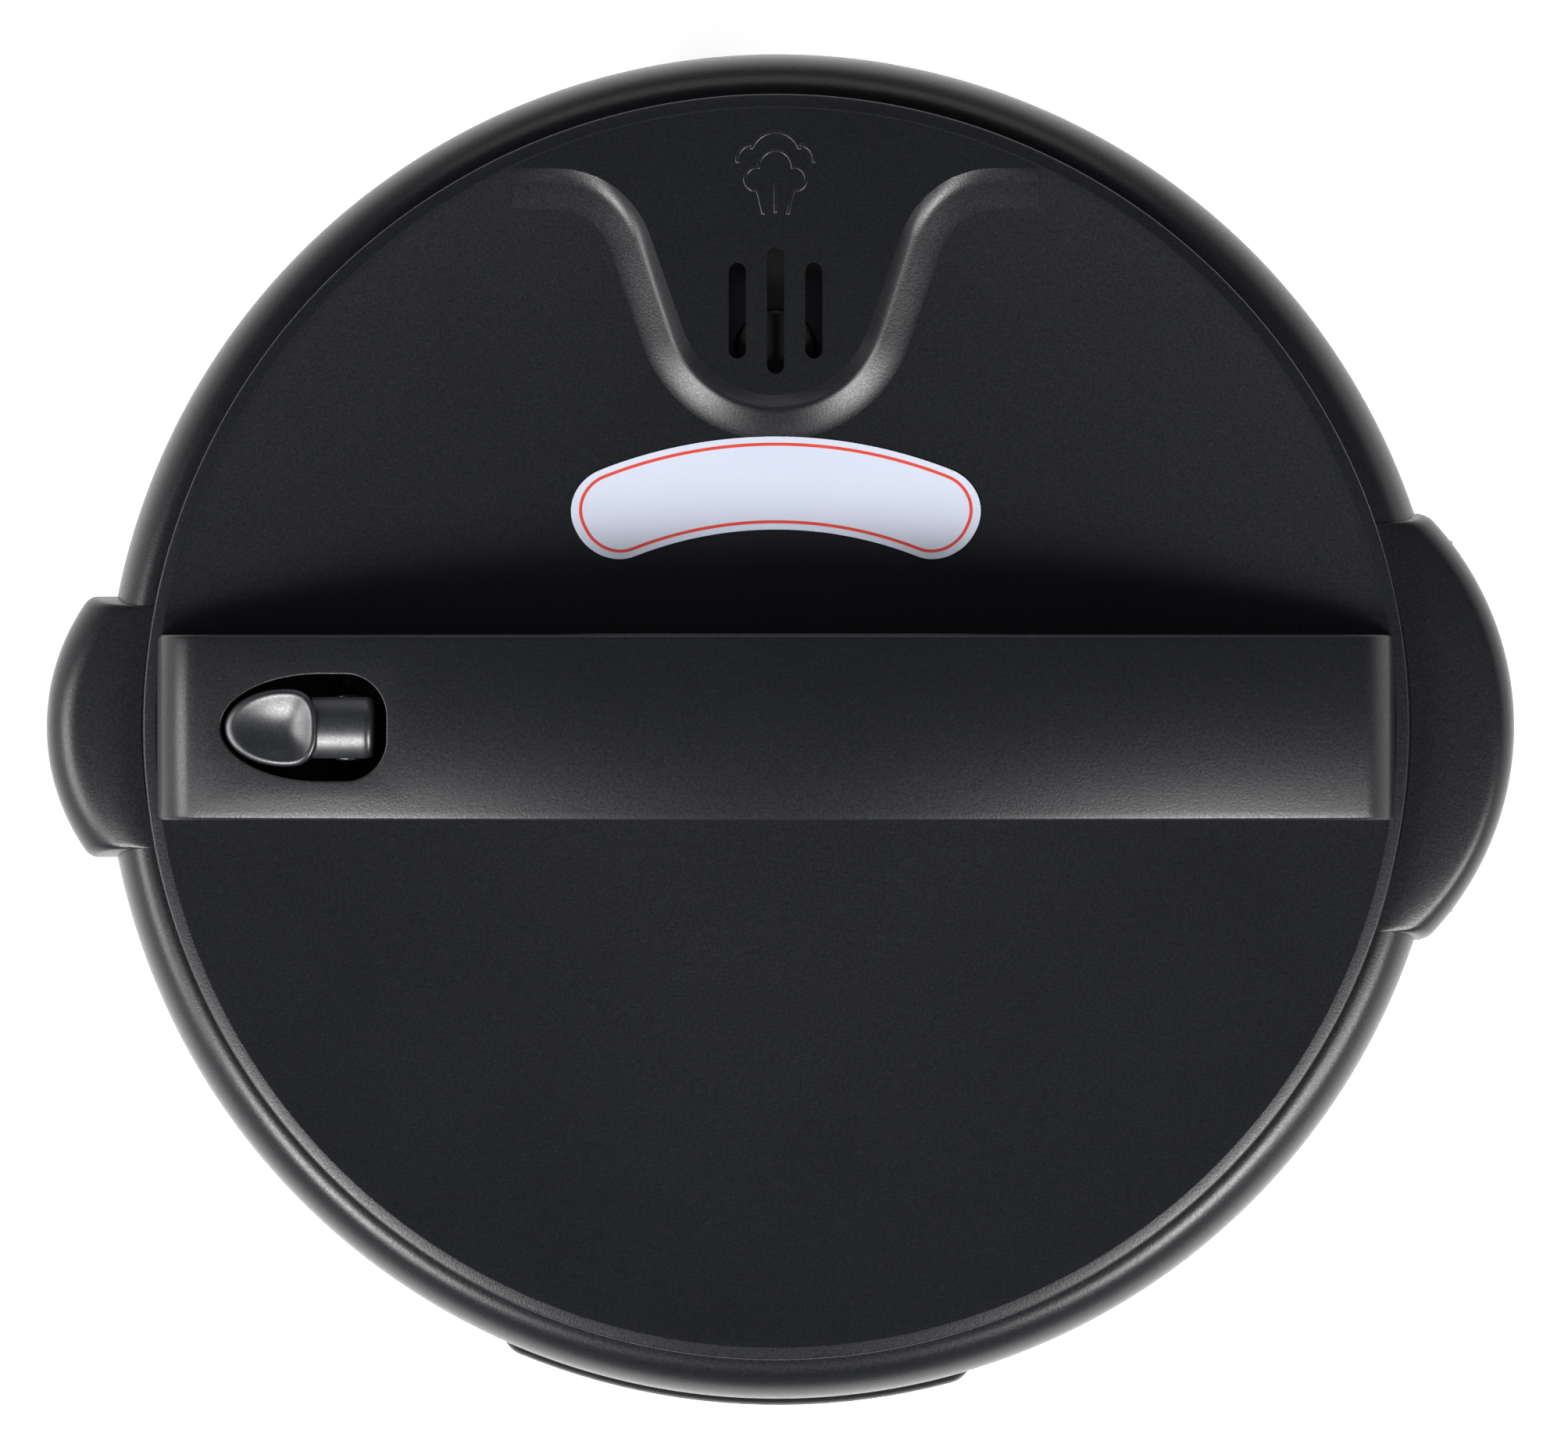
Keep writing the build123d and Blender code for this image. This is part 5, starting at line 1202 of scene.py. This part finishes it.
@dataclass
class ReleaseButton:
    """Thumb button in the bar's well: a scooped pad with a raised lip, and a rounded neck behind it."""

    bar: BarHandle
    gap: float = 0.9
    rear_gap: float = 2.9
    pad_nose: float = 14.0
    pad_blunt: float = 7.2
    pad_half: float = 8.8
    pad_power: float = 2.7
    pad_side: float = 2.2
    scoop: float = 1.9
    scoop_power: float = 1.2
    pad_dip: float = 0.45
    lip: float = 0.86
    lip_round: float = 0.9
    neck_dip: float = 1.4
    neck_radius: float = 11.0
    neck_half: float = 6.9
    neck_round: float = 2.4
    neck_start: float = 6.0
    neck_taper: float = 0.15
    depth: float = 7.0
    hub_radius: float = 3.2
    hub_half: float = 7.4
    pivot_offset: float = 6.0
    pivot_drop: float = 8.6
    tail_offset: float = 10.0
    tail_radius: float = 2.0
    tail_end: float = 260.15

    @property
    def pad_x(self) -> float:
        """Widest place of the pad."""
        return self.bar.well_x - self.bar.well_nose + self.gap + self.pad_nose

    def build(self) -> Piece:
        """Model the button.

        Returns:
            The pad, neck, hub and tail in one piece.
        """
        return join([self.pad(), self.neck(), self.hub(), self.tail()], "release_button_moulding")

    def pad_edge(self, turn: float) -> Vector:
        """Outline of the pad on a ray from its widest place."""
        across, along = sin(turn), cos(turn)
        if along <= 0:
            reach = self.pad_nose * self.pad_half / hypot(self.pad_half * along, self.pad_nose * across)
            return Vector((reach * along, reach * across))
        power = self.pad_power
        grown = abs(along / self.pad_blunt) ** power + abs(across / self.pad_half) ** power
        return Vector((along, across)) * grown ** (-1 / power)

    def pad_profile(self) -> list[Point]:
        """Section of the pad, middle to edge: share of the way to the edge, and height over the lip."""
        power = self.scoop_power
        scooped = [(self.lip * part, -self.scoop * (1 - part ** 2) ** power) for part in spread(0, 1, 16)]
        lip = [
            (self.lip + (1 - self.lip) * sin(radians(angle)), -self.lip_round * (1 - cos(radians(angle))))
            for angle in spread(8, 90, 9)
        ]
        return scooped + lip + [(1.0, -self.pad_side), (1.0, -self.depth)]

    def pad(self) -> Piece:
        """Model the pad as rings that grow from its middle to its edge, and go down its side."""
        profile = self.pad_profile()
        steps = 96

        def place(column: int, row: int) -> Vector:
            """Point on the pad's skin."""
            edge = self.pad_edge(2 * pi * (column % steps) / steps)
            share, lift = profile[row] if row < len(profile) else (0.0, -self.depth)
            spot = Vector((self.pad_x, 0)) + edge * share
            rest = self.bar.spine(spot.x) - self.pad_dip
            return Vector((spot.x, spot.y, rest + lift))

        pad = surface("button_pad", steps, len(profile), place)
        smooth(pad, 40)
        return pad

    def neck(self) -> Piece:
        """Model the neck: a round-backed bar from under the pad to the blunt end of the well."""
        start, end = self.pad_x + self.neck_start, self.bar.well_x + self.bar.well_blunt - self.rear_gap
        turn = [end - self.neck_round * (1 - sin(radians(angle))) for angle in spread(0, 90, 12)]
        xs = spread(start, turn[0] - 0.8, 12) + turn
        ys = [self.neck_half * sin(radians(angle)) for angle in spread(-90, 90, 29)]
        low = self.bar.spine(self.pad_x) - self.depth - 2

        def place(column: int, row: int) -> Vector:
            """Point on the neck's skin, with its walls closed below."""
            x = xs[min(max(column - 1, 0), len(xs) - 1)]
            shrink = sag(max(x - turn[0], 0.0), self.neck_round)
            y = ys[min(max(row - 1, 0), len(ys) - 1)] * (1 - self.neck_taper * shrink / self.neck_round)
            outside = column in (0, len(xs) + 1) or row in (0, len(ys) + 1)
            top = self.bar.spine(x) - self.neck_dip - sag(y, self.neck_radius) - shrink
            return Vector((x, y, low if outside else top))

        neck = surface("button_neck", len(xs) + 1, len(ys) + 1, place)
        with editing(neck):
            pick("EDGE", lambda edge: edge.is_boundary)
            bpy.ops.mesh.edge_face_add()
            tidy_normals()
        smooth(neck, 40)
        return neck

    def hub(self) -> Piece:
        """Model the hinge hub across the well."""
        x = self.bar.well_x + self.pivot_offset
        spot = Vector((x, 0, self.bar.spine(x) - self.pivot_drop))
        return rounded_rod("button_hub", self.hub_radius, 2 * self.hub_half, spot, Vector((0, 1, 0)))

    def tail(self) -> Piece:
        """Model the tail that reaches down to the lever."""
        x = self.bar.well_x - self.tail_offset
        high = self.bar.spine(x) - self.depth
        spot = Vector((x, 0, (high + self.tail_end) / 2))
        return rounded_rod("button_tail", self.tail_radius, high - self.tail_end, spot, Vector((0, 0, 1)))


# ---- Ring and side handles -----------------------------------------------------------------------
@dataclass
class UpperRing:
    """Moulded ring round the lid: a full, even rounding outside, and the moat and its lip inside."""

    wardrobe: Wardrobe
    outside: float
    top: float
    low: float
    lid_radius: float
    crown_start: float = 0.7
    widest_drop: float = 14.5
    foot_inset: float = 1.4
    wall: float = 2.5
    lip: float = 142.0
    lip_drop: float = 6.5
    lip_under: float = 8.0
    moat: float = 139.0
    upstand: float = 118.0
    pot_seat: float = 116.3
    moat_floor: float = 231.65
    seat_low: float = 229.15
    seat_top: float = 236.0
    shell_gap: float = 148.3
    steps: int = 288

    def crown(self, count: int) -> list[Corner]:
        """Rounded outside of the ring, from beside the lid down to its widest place."""
        near = self.lid_radius + self.crown_start
        wide, high = self.outside - near, self.widest_drop
        turns = [radians(angle) for angle in spread(0, 90, count)]
        return [(near + wide * sin(turn), self.top - high * (1 - cos(turn)), 0.0) for turn in turns]

    def build(self) -> None:
        """Model the ring and put it on the base."""
        widest = self.top - self.widest_drop
        skin = self.crown(16)[4:-1]
        under = [(radius - self.wall, height - self.wall / 2, 0.0) for radius, height, _ in skin]
        foot = self.outside - self.foot_inset
        inner = self.moat + self.wall
        section = [
            (self.pot_seat, self.seat_low, 0.0), (self.pot_seat, self.seat_top, 0.4),
            (self.upstand, self.seat_top, 0.4), (self.upstand, self.moat_floor, 0.8),
            (self.moat, self.moat_floor, 1.5), (self.moat, self.top - self.lip_drop, 0.0),
            (self.lip, self.top, 1.2),
            *self.crown(40), (foot, self.low, 0.8), (self.shell_gap, self.low, 0.0),
            (self.shell_gap, self.low + self.wall, 0.0), (foot - self.wall, self.low + self.wall, 0.0),
            (self.outside - self.wall, widest, 0.0), *reversed(under),
            (inner, self.top - self.lip_under, 0.0), (inner, self.seat_low, 0.0),
        ]
        ring = lathe("upper_ring_moulding", section, self.steps)
        smooth(ring, 40)
        self.wardrobe.dress(ring, "black_abs", "base", ["upper_ring"])


@dataclass
class SideHandle:
    """Ear beside the lid to lift the cooker by: soft and round outside, leaning ends, open below."""

    wardrobe: Wardrobe
    node: str
    side: int
    top: float
    reach: float
    rounding: float
    half_width: float
    round_width: float
    round_height: float
    inner: float = 145.1
    depth: float = 27.0
    fall: float = 0.9
    lean: float = 2.4
    lean_depth: float = 10.0
    corner: float = 1.5
    wall: float = 3.0
    round_share: float = 0.8
    least_run: float = 4.0
    start_share: float = 0.6
    wall_rows: tuple[float, ...] = (8.0, 1.4, 0.6, 0.2)
    foot_edge: float = 0.8
    boss_radius: float = 4.0
    boss_height: float = 246.7
    boss_inset: float = 10.0
    boss_start: float = 10.0
    boss_end: float = 1.5

    @property
    def low(self) -> float:
        """Height of its lower edge."""
        return self.top - self.depth

    def outside(self, y: float) -> float:
        """Distance of its outer edge from the middle plane at y, with its plan corners rounded."""
        past = max(abs(y) - (self.half_width - self.corner), 0.0)
        return self.reach - sag(y, self.rounding) - sag(past, self.corner)

    def section(self, y: float) -> list[Point]:
        """Section from beside the lid, over the top and down the outside: distance and height."""
        near, far = sqrt(self.inner ** 2 - y ** 2), self.outside(y)
        wide = min(self.round_width, (far - near) * self.round_share)
        turn = far - wide
        shares = spread(0, 1, 10)
        flat = [(near + (turn - near) * share, self.top - self.fall * share ** 2) for share in shares]
        high = flat[-1][1]
        start = atan2(2 * self.fall, max(turn - near, self.least_run)) * self.start_share
        around = [
            (turn + wide * (sin(angle) - sin(start)) / (1 - sin(start)),
             high - self.round_height * (cos(start) - cos(angle)) / cos(start))
            for angle in spread(start, pi / 2, 16)[1:]
        ]
        wall = [(far, self.low + rise) for rise in self.wall_rows] + [(far - self.foot_edge, self.low)]
        return flat + around + wall

    def build(self) -> None:
        """Model the handle with its screw bosses, and put it on the base."""
        shell = self.shell()
        handle = join([shell, *self.bosses()], f"{self.node}_moulding")
        self.wardrobe.dress(handle, "black_abs", "base", [self.node])

    def shell(self) -> Piece:
        """Model the shell as sections along its width, with an end wall at each side.

        Returns:
            The closed shell.
        """
        inside = self.half_width - self.corner
        turn = [inside + self.corner * sin(radians(angle)) for angle in spread(0, 86, 9)]
        middle = spread(-inside, inside, 61)[1:-1]
        stations = [-y for y in reversed(turn)] + middle + turn
        sections = [self.section(y) for y in stations]
        last = len(stations) - 1

        def place(column: int, row: int) -> Vector:
            """Point on the shell's skin."""
            station = min(max(column - 2, 0), last)
            x, z = sections[station][row]
            steps_out = abs(column - 2 - station)
            if steps_out:
                z = min(z, self.top - self.lean_depth) if steps_out == 1 else self.low
            leaning = self.lean * min(max((z - self.top + self.lean_depth) / self.lean_depth, 0.0), 1.0)
            y = stations[station] * (1 - leaning / self.half_width)
            return Vector((self.side * x, y, z))

        shell = surface(f"{self.node}_shell", last + 4, len(sections[0]) - 1, place)
        face_up(shell)
        thicken(shell, self.wall)
        smooth(shell, 30)
        return shell

    def bosses(self) -> list[Piece]:
        """Model the bosses that its two screws enter, from the ring to the outer wall."""
        made = []
        for end in (-1, 1):
            y = end * (self.half_width - self.boss_inset)
            foot = sqrt((self.inner + self.boss_start) ** 2 - y ** 2)
            length = self.outside(y) - self.boss_end - foot
            spot = Vector((self.side * (foot + length / 2), y, self.boss_height))
            made.append(rounded_rod(f"{self.node}_boss", self.boss_radius, length, spot, Vector((1, 0, 0))))
        return made


# ---- Studio --------------------------------------------------------------------------------------
@dataclass
class Studio:
    """Plain pale floor, soft light from both sides and a camera straight above."""

    ring_plane: float
    camera_height: float = 1500.0
    camera_offset: Point = (12.0, 8.0)
    aim: Point = (1.75, 1.08)
    view_width: float = 362.0
    floor_reach: float = 3000.0
    table_glow: float = 0.6
    sky_sides: float = 1.6
    sky_round: float = 0.5
    sky_low: tuple[float, ...] = (0.62, 0.62, 0.62)
    sky_high: tuple[float, ...] = (0.05, 0.052, 0.058)
    sky_reach: float = 0.5
    lamps: tuple[tuple[str, Place, Point, float], ...] = (
        ("softbox_left", (-620.0, -620.0, 1180.0), (340.0, 420.0), 11.0),
        ("softbox_right", (600.0, -640.0, 1180.0), (340.0, 420.0), 11.0),
        ("strip_left", (-1060.0, -160.0, 820.0), (700.0, 420.0), 7.5),
        ("strip_right", (960.0, -520.0, 900.0), (300.0, 420.0), 5.0),
        ("softbox_rear", (0.0, 1000.0, 900.0), (1200.0, 500.0), 2.0),
    )

    def build(self) -> None:
        """Make the floor, the lamps, the sky and the camera."""
        self.floor()
        self.sky()
        for lamp in self.lamps:
            self.lamp(*lamp)
        self.camera()
        bpy.context.scene.view_settings.view_transform = "Standard"

    def floor(self) -> None:
        """Lay the pale floor: a light table, which lifts the rounded undersides as well."""
        clear_selection()
        bpy.ops.mesh.primitive_plane_add(size=self.floor_reach * MM)
        floor = name_new("studio_floor")
        table = CoatedSheet("light_table_acrylic", "#f4f4f4", 0.8, 40.0, 0.0).material()
        shader = next(node for node in table.node_tree.nodes if node.type == "BSDF_PRINCIPLED")
        shader.inputs["Emission Color"].default_value = linear("#ffffff")
        shader.inputs["Emission Strength"].default_value = self.table_glow
        floor.data.materials.append(table)

    def sky(self) -> None:
        """Light the scene all round: bright low on both sides, dimmer in front, behind and overhead."""
        world = bpy.data.worlds.new("studio_tent")
        world.use_nodes = True
        bpy.context.scene.world = world
        tree = world.node_tree
        tree.nodes.clear()
        ray = add_node(tree, "ShaderNodeTexCoord").outputs["Generated"]
        parts = add_node(tree, "ShaderNodeSeparateXYZ", {"Vector": ray}).outputs
        sides = add_node(tree, "ShaderNodeMath", {0: parts["X"], 1: parts["X"]}, operation="MULTIPLY")
        sockets = {0: sides.outputs["Value"], 1: self.sky_sides, 2: self.sky_round}
        power = add_node(tree, "ShaderNodeMath", sockets, operation="MULTIPLY_ADD").outputs["Value"]
        tent = add_node(tree, "ShaderNodeValToRGB", {"Fac": parts["Z"]})
        horizon, overhead = tent.color_ramp.elements
        horizon.color, overhead.color = (*self.sky_low, 1), (*self.sky_high, 1)
        overhead.position = self.sky_reach
        light = add_node(tree, "ShaderNodeBackground", {"Color": tent.outputs["Color"], "Strength": power})
        add_node(tree, "ShaderNodeOutputWorld", {"Surface": light.outputs["Background"]})

    def lamp(self, name: str, place: Place, size: Point, watts: float) -> None:
        """Hang one softbox that points at the cooker.

        Args:
            name: of the lamp.
            place: its middle, in millimetres.
            size: its two sides, in millimetres.
            watts: its power.
        """
        clear_selection()
        bpy.ops.object.light_add(type="AREA", location=Vector(place) * MM)
        lamp = bpy.context.view_layer.objects.active
        lamp.name = name
        lamp.data.shape = "RECTANGLE"
        lamp.data.size, lamp.data.size_y = (side * MM for side in size)
        lamp.data.energy = watts
        aim = Vector((0, 0, self.ring_plane)) - Vector(place)
        lamp.rotation_euler = aim.to_track_quat("-Z", "Y").to_euler()

    def camera(self) -> None:
        """Set up the camera above the lid, a little to the rear and to the right."""
        clear_selection()
        stand = Vector((*self.camera_offset, self.ring_plane + self.camera_height))
        bpy.ops.object.camera_add(location=stand * MM)
        camera = bpy.context.view_layer.objects.active
        camera.name = "camera_overhead"
        aim = Vector((*self.aim, self.ring_plane)) - stand
        back = -aim.normalized()
        up = back.cross(Vector((1, 0, 0))).normalized()
        camera.rotation_euler = Matrix((up.cross(back), up, back)).transposed().to_euler()
        camera.data.lens = camera.data.sensor_width * aim.length / self.view_width
        camera.data.clip_end = 20.0
        bpy.context.scene.camera = camera


def main() -> None:
    """Dress the cooker, one sub-assembly after another."""
    logging.basicConfig(level=logging.INFO, format="%(name)s: %(message)s")
    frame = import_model()
    wardrobe = Wardrobe(frame["record"])
    wardrobe.dress_nodes(frame["nodes"])
    _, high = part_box("lid_cover")
    ring_low, ring_high = (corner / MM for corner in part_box("upper_ring"))
    lid = LidCover(wardrobe, radius=high.x / MM, rim=high.z / MM, skirt_low=ring_high.z + SKIRT_GAP)
    lid.build()
    BarHandle(wardrobe, lid, crest=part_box("handle_shell")[1].z / MM).build()
    UpperRing(wardrobe, ring_high.x, ring_high.z, ring_low.z, lid.radius).build()
    level = ring_high.z + HANDLE_LIFT
    SideHandle(
        wardrobe, "left_handle", side=-1, top=level, reach=-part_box("left_handle")[0].x / MM,
        rounding=50.0, half_width=30.0, round_width=9.0, round_height=9.5,
    ).build()
    SideHandle(
        wardrobe, "right_handle", side=1, top=level, reach=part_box("right_handle")[1].x / MM,
        rounding=70.0, half_width=49.0, round_width=5.5, round_height=8.0,
    ).build()
    Studio(ring_plane=ring_high.z - RING_PLANE_DEPTH).build()


if __name__ == "__main__":
    main()
